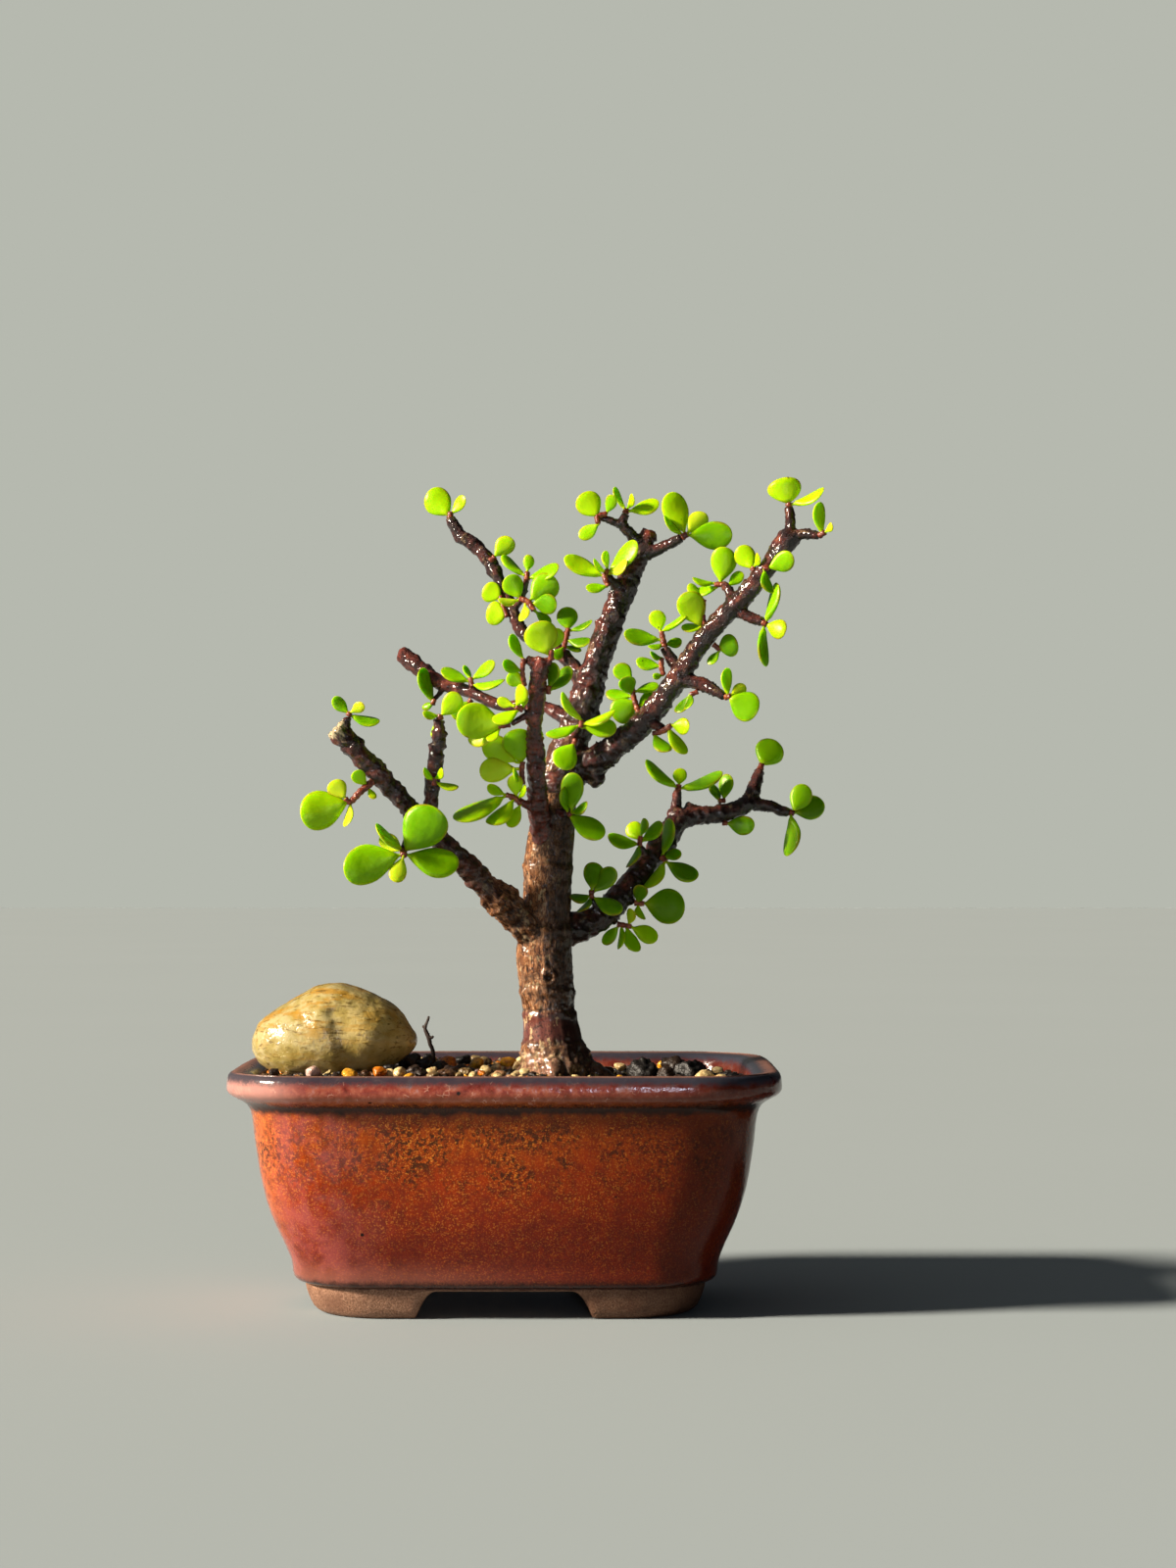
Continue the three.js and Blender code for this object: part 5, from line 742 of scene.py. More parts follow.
def pot_ring(z, half, radius):
    """A rounded rectangle at height z, as [x, y, z], counterclockwise from above."""
    half_y = half - POT_NARROWER
    flat_x, flat_y = half - radius, half_y - radius
    ring = []
    # the signs of each corner, its first quarter, and the side after it: from, to and parts
    sides = [
        ((1, 1), 0, (flat_x, half_y), (-flat_x, half_y), LONG_PARTS),
        ((-1, 1), 1, (-half, flat_y), (-half, -flat_y), SHORT_PARTS),
        ((-1, -1), 2, (-flat_x, -half_y), (flat_x, -half_y), LONG_PARTS),
        ((1, -1), 3, (half, -flat_y), (half, flat_y), SHORT_PARTS),
    ]
    for (sign_x, sign_y), quarter, start, end, parts in sides:
        for k in range(CORNER_PARTS):
            turn = (quarter + k / CORNER_PARTS) * math.pi / 2
            ring.append(Vector((sign_x * flat_x + radius * math.cos(turn),
                                sign_y * flat_y + radius * math.sin(turn), z)))
        for k in range(parts):
            share = k / parts
            ring.append(Vector((start[0] + share * (end[0] - start[0]),
                                start[1] + share * (end[1] - start[1]), z)))
    for point in ring:
        point.x *= 1 - WALL_BOW * (point.y / half_y) ** 2
        point.y *= 1 - WALL_BOW * (point.x / half) ** 2
    return ring


ARCHES = {"long": (23.6, 18.2), "short": (13.6, 9.3)}   # half widths: on the table, at the top
ARCH_HIGH = UNDERSIDE - 0.35
RIM_HALF_X, RIM_HALF_Y = 75, 55.4


def arch_height(point):
    """Where the foot's lower edge is: on the table, or up over the gap between two feet."""
    on_long = abs(point.y) / RIM_HALF_Y > abs(point.x) / RIM_HALF_X
    across = abs(point.x) if on_long else abs(point.y)
    low, high = ARCHES["long" if on_long else "short"]
    share = min(1, max(0, (low - across) / (low - high)))
    rise = math.sin(share * math.pi / 2) ** 0.8
    return TABLE + rise * (ARCH_HIGH - TABLE)


def foot_ring(z, half, radius):
    """A ring of the feet, lifted over the gaps between them."""
    ring = pot_ring(z, half, radius)
    top = UNDERSIDE + 0.4
    for point in ring:
        low = arch_height(point)
        share = (z - TABLE) / (top - TABLE)
        point.z = low + share * (top - low)
    return ring


def make_pot(material):
    """The pot in one skin: underside, feet, wall, rolled rim, inner wall and floor."""
    rings = [pot_ring(UNDERSIDE, half, radius) for half, radius in UNDER_RINGS]
    rings += [foot_ring(z, half, FOOT_CORNER) for z, half in FOOT_INSIDE]
    rings += [foot_ring(TABLE, half, radius) for half, radius in SOLE_RINGS]
    wall_from = len(rings) + WALL_FROM
    for z, half in POT_OUTSIDE:
        shape = foot_ring if z < UNDERSIDE + 0.2 else pot_ring
        rings.append(shape(z, half, corner_radius(half)))
    rings += [pot_ring(z, half, corner_radius(half) - INNER_CORNER) for z, half in POT_INSIDE]
    rings += [pot_ring(POT_FLOOR, half, half * FLOOR_CORNER) for half in FLOOR_HALVES]
    for ring in rings[wall_from:FLOOR_FROM]:
        middle = Vector((0, 0, ring[0].z))
        for point in ring:
            out = (point - middle).normalized()
            point += out * unevenness(point, WALL_WAVES)
    body = Body()
    body.loft(rings, 0, start=Vector((0, 0, UNDERSIDE)), end=Vector((0, 0, POT_FLOOR)))
    return body.piece("glazed_pot", [material])


NET_SIDE = 20.0
NET_HIGH = (9.5, 10.7)
NET_BARS = 7
NET_BEVEL = 0.12


def make_drain_net(side, x, material):
    """A square moulded net over a drainage hole: a frame with crossing bars."""
    body = Body()
    half = NET_SIDE / 2
    low, high = NET_HIGH

    def bar(centre, half_x, half_y, bottom, top):
        rings = []
        for z, shrink in ((bottom, NET_BEVEL), (bottom + 0.15, 0), (top - 0.15, 0),
                          (top, NET_BEVEL)):
            rings.append([
                Vector((centre[0] + sx * (half_x - shrink), centre[1] + sy * (half_y - shrink), z))
                for sx, sy in ((-1, -1), (1, -1), (1, 1), (-1, 1))
            ])
        body.loft(rings)

    for k in range(NET_BARS):
        at = -half + 0.5 + k * (NET_SIDE - 1) / (NET_BARS - 1)
        thick = 0.5 if k in (0, NET_BARS - 1) else 0.35
        bar((x + at, 0), thick, half, low, high)
        bar((x, at), half, thick, low + 0.1, high - 0.1)
    return body.piece("drain_net_" + side, [material], smooth=False)


# Stone, stalk and soil

# The stone's outline as seen from the front, [x, z], counterclockwise from its right end.
STONE_OUTLINE = [
    (-24.7, 70.5), (-25.9, 72.9), (-28.3, 76.4), (-31.4, 79.5), (-36.0, 82.1), (-41.2, 84.2),
    (-45.7, 85.5), (-51.1, 84.9), (-56.3, 82.5), (-62.2, 79.3), (-67.5, 75.3), (-69.2, 72.7),
    (-70.1, 69.2), (-69.6, 65.8), (-67.4, 62.6), (-63.0, 60.0), (-56.3, 58.6), (-48.0, 58.2),
    (-40.0, 58.9), (-32.5, 61.8), (-27.4, 65.4), (-25.0, 68.0),
]
STONE_MIDDLE = Vector((-48.0, -8.0, 71.0))
STONE_HALF_DEPTH = 15.0
STONE_TURNS = 120
STONE_BANDS = 70
STONE_WAVES = [(0.45, 0.12), (0.16, 0.45)]

# Hollows (+) and swells (-) of the stone's front: how deep, where in x with its reach to the
# left and the right, and where in z with its reach down and up.
STONE_DENTS = [
    (0.7, -47.4, 1.4, 1.8, 77.6, 1.1, 1.3),     # a small pit at the head of the valley
    (-0.9, -37, 6, 5, 72, 7, 6),                # the right half swells forward
    (1.5, -60, 12, 9, 77, 8, 8),                # the long upper left face is nearly flat
]


def closed_curve(points, share):
    """A smooth closed curve through points, at a share of the way round."""
    at = share * len(points)
    i, t = int(at) % len(points), at - int(at)
    near = (Vector(points[(i + k) % len(points)]) for k in (-1, 0, 1, 2))
    return sum((point * w for point, w in zip(near, curve_weights(t))), Vector((0, 0)))


def bell(value, narrow, wide):
    """A smooth bump at 0, `narrow` on the lower side and `wide` on the upper side."""
    return math.exp(-(value / (narrow if value < 0 else wide)) ** 2)


def make_stone(material):
    """A round stone with the drawn outline, and with a worn front."""
    rings = []
    for band in range(1, STONE_BANDS):
        lift = math.pi * (band / STONE_BANDS - 0.5)
        spread = math.cos(lift) ** 0.82
        front = max(0.0, -math.sin(lift))
        ring = []
        for k in range(STONE_TURNS):
            edge = closed_curve(STONE_OUTLINE, k / STONE_TURNS)
            point = Vector((
                STONE_MIDDLE.x + (edge.x - STONE_MIDDLE.x) * spread,
                STONE_MIDDLE.y + STONE_HALF_DEPTH * math.sin(lift),
                STONE_MIDDLE.z + (edge.y - STONE_MIDDLE.z) * spread,
            ))
            # a valley runs down the front, and ends under the top
            valley = point.x - (-46.0 + 0.28 * (77 - point.z))
            down = 1 / (1 + math.exp((point.z - 80) * 0.9))
            point.y += front * (1.5 * down * bell(valley, 2.8, 8.0))
            for deep, x, left, right, z, lower, upper in STONE_DENTS:
                sideways, upwards = bell(point.x - x, left, right), bell(point.z - z, lower, upper)
                point.y += front * deep * sideways * upwards
            away = (point - STONE_MIDDLE).normalized()
            point += away * unevenness(point, STONE_WAVES)
            ring.append(point)
        rings.append(ring)
    body = Body()
    body.loft(rings)
    return body.piece("polished_river_stone", [material])


STALK_PATH = [
    [-20.9, 55, 0.9, 14], [-20.5, 62, 1.0, 14], [-20.7, 65.7, 1.1, 14], [-21.5, 68, 1.15, 14],
    [-22.0, 70.1, 1.3, 14], [-22.9, 72.2, 0.95, 14], [-22.4, 74.2, 0.85, 14],
    [-21.8, 75.8, 0.6, 14],
]
STALK_BITS = [
    [[-22.2, 70.2, 1.1, 14], [-21.1, 69.8, 0.9, 13.6], [-20.6, 70.3, 0.5, 13.4]],
    [[-22.9, 72.4, 0.9, 14], [-23.6, 73.1, 0.6, 14.2]],
]


def make_stalk(material):
    """The dead stalk and its two side bits, a little knobbly."""
    body = Body()
    for path in (STALK_PATH, *STALK_BITS):
        line = smooth_path(path, (0, 0, 0), 0.6)
        rings = tube_rings(line, 9)
        for ring in rings:
            for point in ring:
                point += Vector((0.12, 0.08, 0)) * noise.noise(point * 1.3)
        body.loft(rings)
    return body.piece("dried_stalk", [material])


def pot_wall_inside(z):
    """Half width of the pot's inside at a height."""
    for (high, wide), (low, narrow) in zip(POT_INSIDE, POT_INSIDE[1:]):
        if low <= z <= high:
            return narrow + (z - low) / (high - low) * (wide - narrow)
    return POT_INSIDE[-1][1]


def soil_top(x, y):
    """Height of the grit: nearly level with the rim on the left, lower on the right and at
    both ends, raised at the trunk, and in low waves all over."""
    lower = 1.5 * math.tanh((x - 8) / 25)
    ends = 0.4 * (x / 66) ** 2
    mound = 0.9 * math.exp(-(((x - 13) / 16) ** 2 + (y / 16) ** 2))
    return 60 - lower - ends + mound + 0.3 * math.sin(x * 0.31) * math.cos(y * 0.37)


BED_WALL = (11.6, 13, 20, 30, 44, 54, 58)     # heights of its rings; the top starts at the last
BED_GAP = 0.5                                 # between the bed and the pot's wall
BED_UNDER_GRIT = 0.7                          # how far the bed lies under the grit's level
BED_TOP_RINGS = 40
BED_WAVES = [(0.55, 0.5), (0.35, 1.4)]


def make_soil_bed(material):
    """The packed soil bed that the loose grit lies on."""
    rings = []
    for z in BED_WALL:
        half = pot_wall_inside(z)
        rings.append(pot_ring(z, half - BED_GAP, corner_radius(half) - INNER_CORNER))
    shore = rings.pop()
    for k in range(BED_TOP_RINGS):
        share = 1 - k / BED_TOP_RINGS
        ring = []
        for point in shore:
            x, y = point.x * share, point.y * share
            rough = unevenness(Vector((x, y, 0)), BED_WAVES)
            ring.append(Vector((x, y, soil_top(x, y) - BED_UNDER_GRIT + rough)))
        rings.append(ring)
    body = Body()
    body.loft(rings, start=Vector((0, 0, BED_WALL[0])))
    return body.piece("packed_soil", [material])


# Pebbles that stand out of the grit: [x, y, radius, height share, colour pick].
PEBBLES = [
    # the row along the front, from the left
    (-62.0, -28, 1.7, 0.8, 0.3), (-51.2, -34, 2.5, 0.95, 0.985), (-44.6, -36, 1.6, 0.7, 0.35),
    (-40.6, -35, 2.3, 0.75, 0.9), (-36.8, -34, 1.3, 0.8, 0.55), (-33.6, -33, 2.1, 0.75, 0.93),
    (-30.6, -31, 1.5, 0.9, 0.83), (-28.2, -31, 2.0, 1.0, 0.84), (-25.4, -34, 1.6, 0.6, 0.9),
    (-22.4, -29, 1.5, 0.7, 0.3), (-19.0, -34, 1.8, 0.6, 0.7), (-15.8, -32, 2.6, 0.6, 0.56),
    (-11.8, -34, 1.7, 0.7, 0.7), (-8.4, -32, 1.6, 0.8, 0.84), (-4.8, -34, 1.4, 0.8, 0.6),
    (-2.0, -30, 1.7, 0.8, 0.83), (1.4, -33, 1.5, 0.7, 0.75), (4.6, -31, 1.3, 0.7, 0.84),
    # orange and yellow gravel left of the trunk
    (-16.4, 4, 3.1, 0.9, 0.95), (-12.2, -6, 1.9, 0.7, 0.3), (-8.6, 6, 2.5, 0.95, 0.9),
    (-3.4, 0, 1.5, 0.9, 0.83), (-0.4, 8, 2.6, 0.9, 0.91), (2.6, 2, 1.6, 0.95, 0.84),
    (5.2, -12, 1.5, 0.9, 0.82), (-6.0, -12, 1.7, 0.8, 0.84), (-1.6, -18, 1.6, 0.8, 0.72),
    (-10.6, -20, 1.9, 0.7, 0.62), (-15.2, -18, 2.2, 0.7, 0.48), (2.4, -22, 1.4, 0.7, 0.86),
    (-6.2, -24, 1.5, 0.7, 0.94), (-19.6, -20, 1.8, 0.8, 0.84), (6.4, 10, 1.7, 0.8, 0.92),
    # black chunks behind the stone
    (-22.6, 0, 2.9, 0.95, 0.1), (-27.4, -6, 2.6, 0.9, 0.2), (-18.6, -8, 2.4, 0.8, 0.05),
    (-26.8, 10, 2.7, 0.9, 0.25), (-13.4, 20, 2.2, 0.9, 0.1), (-7.0, 22, 1.9, 0.9, 0.62),
    (-31.0, -18, 2.2, 0.8, 0.15), (-24.8, -20, 2.0, 0.8, 0.4),
    # right of the trunk
    (24.4, -30, 1.7, 0.6, 0.83), (28.6, -31, 2.2, 0.5, 0.86), (33.4, -31, 1.7, 0.6, 0.84),
    (20.0, -29, 1.9, 0.6, 0.72), (27.0, -20, 1.6, 0.6, 0.6), (31.6, -14, 1.8, 0.6, 0.9),
    (38.6, -2, 4.1, 1.0, 0.04), (43.6, -6, 2.7, 0.9, 0.3), (46.2, 4, 3.6, 1.05, 0.45),
    (50.4, -2, 3.9, 1.0, 0.07), (52.4, 12, 3.2, 1.0, 0.3), (54.2, -12, 2.7, 1.0, 0.85),
    (58.4, -14, 2.2, 0.9, 0.83), (55.2, -20, 1.9, 0.7, 0.92), (62.2, -12, 2.0, 0.8, 0.2),
    (61.0, -2, 2.1, 0.8, 0.1), (47.4, -18, 2.0, 0.7, 0.35), (36.0, 16, 2.6, 0.8, 0.1),
    (28.0, 12, 2.0, 0.7, 0.55), (32.0, 26, 2.3, 0.7, 0.83),
    # at the back and the far ends
    (-38.0, 30, 2.3, 0.8, 0.9), (-52.0, 26, 2.4, 0.7, 0.1), (-44.0, 22, 2.0, 0.8, 0.84),
    (-62.0, 20, 2.2, 0.7, 0.5), (4.0, 34, 2.1, 0.7, 0.86), (18.0, 36, 2.3, 0.7, 0.3),
    (44.0, 36, 2.4, 0.7, 0.92), (60.0, 24, 2.0, 0.7, 0.8), (-24.0, 36, 1.9, 0.8, 0.15),
    (12.0, 28, 1.8, 0.8, 0.85), (52.0, 30, 1.7, 0.8, 0.7), (-10.0, 36, 1.8, 0.8, 0.7),
]
GRAVEL_PICK = 0.6        # picks above it are worn gravel, and the others lava and bark
LUMP_SIDES = 9
CRUMBS = [
    # name, how many, first seed, sharpness, stretch, smooth
    ("gravel", 3, 0, 5, (1, 1, 1), True),
    ("lava", 4, 20, 14, (1, 1, 1), False),
    ("splinter", 2, 40, 12, (2.3, 0.5, 0.35), False),
]
PEBBLE_SEED = 60         # of the first of the placed pebbles
WORN, SHARP = 5, 11      # sharpness of a placed pebble: gravel, or lava and bark
FINE_RADIUS = 1.65       # placed pebbles larger than this are made of finer faces
BED_TOP_FROM = 55        # faces of the bed above this height, and not upright, hold grit
# the inputs of the nodes that strew the crumbs
GRIT_INPUTS = {"Spacing": 1.8 * MM, "Smallest": 0.6 * MM, "Largest": 1.5 * MM, "Seed": 4}


def worn_radius(way, sides, sharpness):
    """How far a lump reaches one way: flat sides, rounded over into each other."""
    total = 0.87 ** sharpness
    for normal, near in sides:
        total += max(0.0, way.dot(normal) / near) ** sharpness
    return total ** (-1 / sharpness)


def make_lump(name, seed, sharpness, stretch=(1, 1, 1), smooth=True, fine=0):
    """One crumb: a ball cut to flat sides. A strewn one is coarse, with 24 faces. A placed
    one is a ball of triangles split `fine` times, with small crags too."""
    draw = random.Random(seed)
    sides = []
    for _ in range(LUMP_SIDES):
        normal = Vector([draw.gauss(0, 1) for _ in range(3)]).normalized()
        sides.append((normal, draw.uniform(0.62, 0.92)))
    lump = bmesh.new()
    if fine:
        bmesh.ops.create_icosphere(lump, subdivisions=fine, radius=1)
    else:
        bmesh.ops.create_cube(lump, size=2)
        bmesh.ops.subdivide_edges(lump, edges=lump.edges, cuts=1, use_grid_fill=True)
    for vertex in lump.verts:
        way = vertex.co.normalized()
        reach = worn_radius(way, sides, sharpness)
        if fine:
            crag = 0.05 if sharpness < 8 else 0.2
            reach += crag * (noise.noise(way * 2.2 + Vector((seed, 0, 0)))
                             + 0.6 * noise.noise(way * 5.2 + Vector((0, seed, 0))))
        vertex.co = Vector([part * reach * s for part, s in zip(way, stretch)])
    mesh = bpy.data.meshes.new(name)
    lump.to_mesh(mesh)
    lump.free()
    mesh.polygons.foreach_set("use_smooth", [smooth] * len(mesh.polygons))
    return bpy.data.objects.new(name, mesh)


def scatter_tree(crumbs, material):
    """Geometry Nodes that strew crumbs over a bed: sizes, tilt and colour pick per crumb."""
    tree = bpy.data.node_groups.new("strewn_grit", "GeometryNodeTree")
    for name, kind in (("Bed", "NodeSocketGeometry"), ("Spacing", "NodeSocketFloat"),
                       ("Smallest", "NodeSocketFloat"), ("Largest", "NodeSocketFloat"),
                       ("Seed", "NodeSocketInt")):
        tree.interface.new_socket(name, in_out="INPUT", socket_type=kind)
    tree.interface.new_socket("Grit", in_out="OUTPUT", socket_type="NodeSocketGeometry")
    given = tree.nodes.new("NodeGroupInput").outputs
    add = partial(add_node, tree)
    spots = add("GeometryNodeDistributePointsOnFaces", {
        "Mesh": given["Bed"], "Distance Min": given["Spacing"], "Seed": given["Seed"],
        "Density Max": 1.2e6,
    }, distribute_method="POISSON")
    picked = add("FunctionNodeRandomValue", {"Seed": 5}, out=1, data_type="FLOAT")
    along = add(SPLIT, {0: add("GeometryNodeInputPosition")})
    # on the right side the grit is darker
    darker = add(RANGE, {VALUE: along, FROM: -0.02, TO: 0.04, LEAST: 1.0, MOST: 1.9})
    tone = add(MATH, {0: picked, 1: darker}, operation="POWER")
    named = add("GeometryNodeStoreNamedAttribute", {
        "Geometry": spots, "Name": "pick", "Value": tone}, data_type="FLOAT", domain="POINT")
    library = add("GeometryNodeCollectionInfo", {
        "Collection": crumbs, "Separate Children": True, "Reset Children": True})
    size = add("FunctionNodeRandomValue", {
        "Seed": 11, 2: given["Smallest"], 3: given["Largest"]}, out=1, data_type="FLOAT")
    squash = add("ShaderNodeCombineXYZ", {"X": 1.15, "Y": 0.95, "Z": 0.8})
    scale = add("ShaderNodeVectorMath", {0: squash, "Scale": size}, operation="SCALE")
    tilt = add("FunctionNodeRandomValue", {
        "Min": (-0.6, -0.6, 0.0), "Max": (0.6, 0.6, 6.28), "Seed": 21}, data_type="FLOAT_VECTOR")
    strewn = add("GeometryNodeInstanceOnPoints", {
        "Points": named, "Instance": library, "Pick Instance": True,
        "Rotation": tilt, "Scale": scale})
    real = add("GeometryNodeRealizeInstances", {"Geometry": strewn})
    dressed = add("GeometryNodeSetMaterial", {"Geometry": real, "Material": material})
    shown = tree.nodes.new("NodeGroupOutput")
    tree.links.new(dressed, shown.inputs["Grit"])
    return tree


def bed_top(bed):
    """A copy of the bed's top, for the crumbs to lie on."""
    top = bed.copy()
    top.data = bed.data.copy()
    bpy.context.scene.collection.objects.link(top)
    shell = bmesh.new()
    shell.from_mesh(top.data)
    low = (BED_TOP_FROM + PLACE.z) * MM
    others = [face for face in shell.faces
              if face.normal.z < 0.2 or face.calc_center_median().z < low]
    bmesh.ops.delete(shell, geom=others, context="FACES")
    shell.to_mesh(top.data)
    shell.free()
    return top


def add_pebbles(grit):
    """Joins the placed pebbles to the strewn grit, sunk a little and each turned its own way."""
    body = bmesh.new()
    body.from_mesh(grit.data)
    pick = body.verts.layers.float["pick"]
    draw = random.Random(8)
    for number, (x, y, radius, height, tone) in enumerate(PEBBLES):
        lump = make_lump("lump", PEBBLE_SEED + number, WORN if tone > GRAVEL_PICK else SHARP,
                         fine=4 if radius > FINE_RADIUS else 3)
        turn = Matrix.Rotation(draw.uniform(0, 6.28), 3, "Z")
        centre = Vector((x, y, soil_top(x, y) + radius * height * 0.5))
        grown = []
        for vertex in lump.data.vertices:
            spot = Vector((vertex.co.x, vertex.co.y, vertex.co.z * height))
            made = body.verts.new((centre + turn @ spot * radius + PLACE) * MM)
            made[pick] = tone
            grown.append(made)
        for face in lump.data.polygons:
            body.faces.new([grown[i] for i in face.vertices]).smooth = True
        bpy.data.objects.remove(lump, do_unlink=True)
    body.to_mesh(grit.data)
    body.free()


def make_grit(bed, material):
    """Loose grit on the bed, strewn crumbs and placed pebbles, as one plain mesh."""
    crumbs = bpy.data.collections.new("crumbs")
    for name, many, seed, sharpness, stretch, smooth in CRUMBS:
        for k in range(many):
            crumbs.objects.link(make_lump(f"{name}_{k}", seed + k, sharpness, stretch, smooth))
    ground = bed_top(bed)
    modifier = ground.modifiers.new("grit", "NODES")
    modifier.node_group = scatter_tree(crumbs, material)
    for item in modifier.node_group.interface.items_tree:
        if item.name in GRIT_INPUTS:
            modifier[item.identifier] = GRIT_INPUTS[item.name]
    grit = flattened(ground, "loose_grit")
    add_pebbles(grit)
    grit.data.materials.clear()
    grit.data.materials.append(material)
    grit.data.polygons.foreach_set("material_index", [0] * len(grit.data.polygons))
    for shape in list(crumbs.objects):
        bpy.data.objects.remove(shape, do_unlink=True)
    bpy.data.collections.remove(crumbs)
    return grit


# Trunk and branches

VOXEL = 0.52             # grain of the grown wood's mesh
YOUNG_GIRTH, OLD_GIRTH = 4.3, 6.2        # limb radius where bark is still smooth, and split
TRUNK_RINGS = [68.2, 77.8, 84.2, 101.4, 118.5, 133.0]      # heights of the trunk's cracks
COLLAR_TOP = 67.5        # under it the trunk's foot is flaky
POLISH = (69.2, 77.2)    # between these heights the trunk's skin is bare and glossy
KNOT = Vector((11.6, -7.6, 86.7))
SHADED_SIDE = np.array((0.85, 0.2, -0.48))   # the way the side of each limb with painted shade faces, away from the key light
SHADE_FROM, SHADE_TO = -0.65, 0.22           # how far a surface faces it: no painted shade, nearly full painted shade
RINGED_TRUNK = (4.4, 5.6)                  # the trunk's top is ringed like a branch: girths
LIMB_APART = 40.0        # shift between the patterns of two limbs, in mm
BLOCK = 4000             # surface points that are placed at a time

# Limbs that differ from the rest: bark older than its girth says, in mm of girth; painted
# shade on the side away from the light, less dark than the others'; and skin flushed red all
# along.
EARLY_BARK = {"left": 1.7}
SHADE_STRENGTH = {"left": 0.5, "slender": 0.3, "farLeft": 0.7}
FLUSH = {"slender": 0.5, "farLeft": 0.45}

# Where a pruned branch shows its end, [x, z, depth, branch]: a pale dry cut, or a red
# healed one.
PALE_ENDS = [(-48, 156.2, -14, "left")]
RED_ENDS = [(-29.4, 177, 14, "farLeft"), (9.6, 176, -15.6, "slender"),
            (39.6, 211.4, 5.5, "trunk")]


def limb_paths():
    """Every path of the tree: (branch, rows)."""
    yield "trunk", TRUNK
    for branch, paths in LIMBS:
        for path in paths:
            yield branch, path


def wood_segments():
    """Straight pieces of every limb, for finding a surface point's place on the tree."""
    starts, ends, widths, runs, sides, kinds = [], [], [], [], [], []
    for number, (branch, path) in enumerate(limb_paths()):
        line = smooth_path(path, LEANS[branch], 3.0)
        frames = frames_along(line)
        run = LIMB_APART * number
        for i in range(len(line) - 1):
            (a, wide_a), (b, wide_b) = line[i], line[i + 1]
            starts.append(a)
            ends.append(b)
            widths.append((wide_a, wide_b))
            length = (b - a).length
            runs.append((run, run + length))
            run += length
            sides.append((*frames[i][1], *frames[i][2]))
            kinds.append(number)
    return [np.array(rows, dtype=np.float64) for rows in
            (starts, ends, widths, runs, sides, kinds)]


def place_on_wood(points):
    """For each surface point: across and along its limb in mm, the limb's radius, and which
    limb it is."""
    starts, ends, widths, runs, sides, kinds = wood_segments()
    spans = ends - starts
    squares = (spans ** 2).sum(1)
    grain = np.zeros((len(points), 3))
    girth = np.zeros(len(points))
    limb = np.zeros(len(points))
    for first in range(0, len(points), BLOCK):
        p = points[first:first + BLOCK, None, :] - starts[None]
        share = np.clip((p * spans[None]).sum(2) / squares[None], 0, 1)
        away = p - share[..., None] * spans[None]
        radius = widths[None, :, 0] + share * (widths[:, 1] - widths[:, 0])[None]
        depth = np.sqrt((away ** 2).sum(2)) - radius
        best = depth.argmin(1)
        rows = np.arange(len(best))
        off = away[rows, best]
        side, across = sides[best, :3], sides[best, 3:]
        at = share[rows, best]
        block = slice(first, first + len(best))
        grain[block, 0] = (off * side).sum(1)
        grain[block, 1] = (off * across).sum(1)
        grain[block, 2] = runs[best, 0] + at * (runs[best, 1] - runs[best, 0])
        girth[block] = radius[rows, best]
        limb[block] = kinds[best]
    return grain, girth, limb


def eased(value, low, high):
    """0 below `low`, 1 above `high`, and smooth between them."""
    share = min(1.0, max(0.0, (value - low) / (high - low)))
    return share * share * (3 - 2 * share)


def trunk_relief(point, grain):
    """The old trunk: ring cracks, a knot and a flaky foot. Returns (rise, crease)."""
    rise = crease = 0.0
    for high in TRUNK_RINGS:
        waver = 1.5 * noise.noise(Vector((grain[0] * 0.2, grain[1] * 0.2, high)))
        gap = point.z - high - waver
        rise += 0.5 * bell(gap + 1.0, 1.6, 0.6)
        crease = max(crease, bell(gap, 0.45, 0.6))
    from_knot = (point - KNOT).length
    rise += 0.75 * bell(from_knot - 1.5, 0.7, 0.9) - 1.3 * bell(from_knot, 1, 0.8)
    crease = max(crease, bell(from_knot, 1, 0.9))
    foot = 1 - eased(point.z, COLLAR_TOP - 2, COLLAR_TOP)
    rise += foot * (0.5 + 1.1 * noise.noise(point * 0.55))
    return rise, crease


def node_relief(point, grain, girth, limb):
    """A branch's segments: each swells to a rim where leaves once grew, and a crease parts
    it from the next. No two are alike. Returns (rise, crease)."""
    spacing = 4.2 + 0.6 * girth
    drift = 1.1 * noise.noise(Vector((limb * 3.7, 0, grain[2] * 0.09)))
    angle = math.atan2(grain[1], grain[0])
    waver = 0.2 * noise.noise(Vector((math.cos(angle), math.sin(angle), grain[2] * 0.1)) * 1.4)
    run = grain[2] / spacing + drift + waver
    share = run % 1
    strength = 0.55 + 0.45 * noise.cell(Vector((limb + 0.5, math.floor(run) + 0.5, 0.5)))
    rim = eased(share, 0.1, 0.62) * (1 - eased(share, 0.66, 0.88))
    crease = bell(share - 0.85, 0.05, 0.05) * strength
    # a pair of leaf scars on each rim, crosswise to the pair before
    scars = abs(math.cos(angle - math.floor(run) * math.pi / 2)) ** 6
    size = strength * (0.1 + 0.08 * girth)
    lumps = unevenness(point, [(0.1 + 0.16 * girth, 0.42), (0.1 + 0.06 * girth, 0.9)])
    return size * rim * (0.7 + 0.9 * scars) - 0.5 * size * crease + lumps, crease


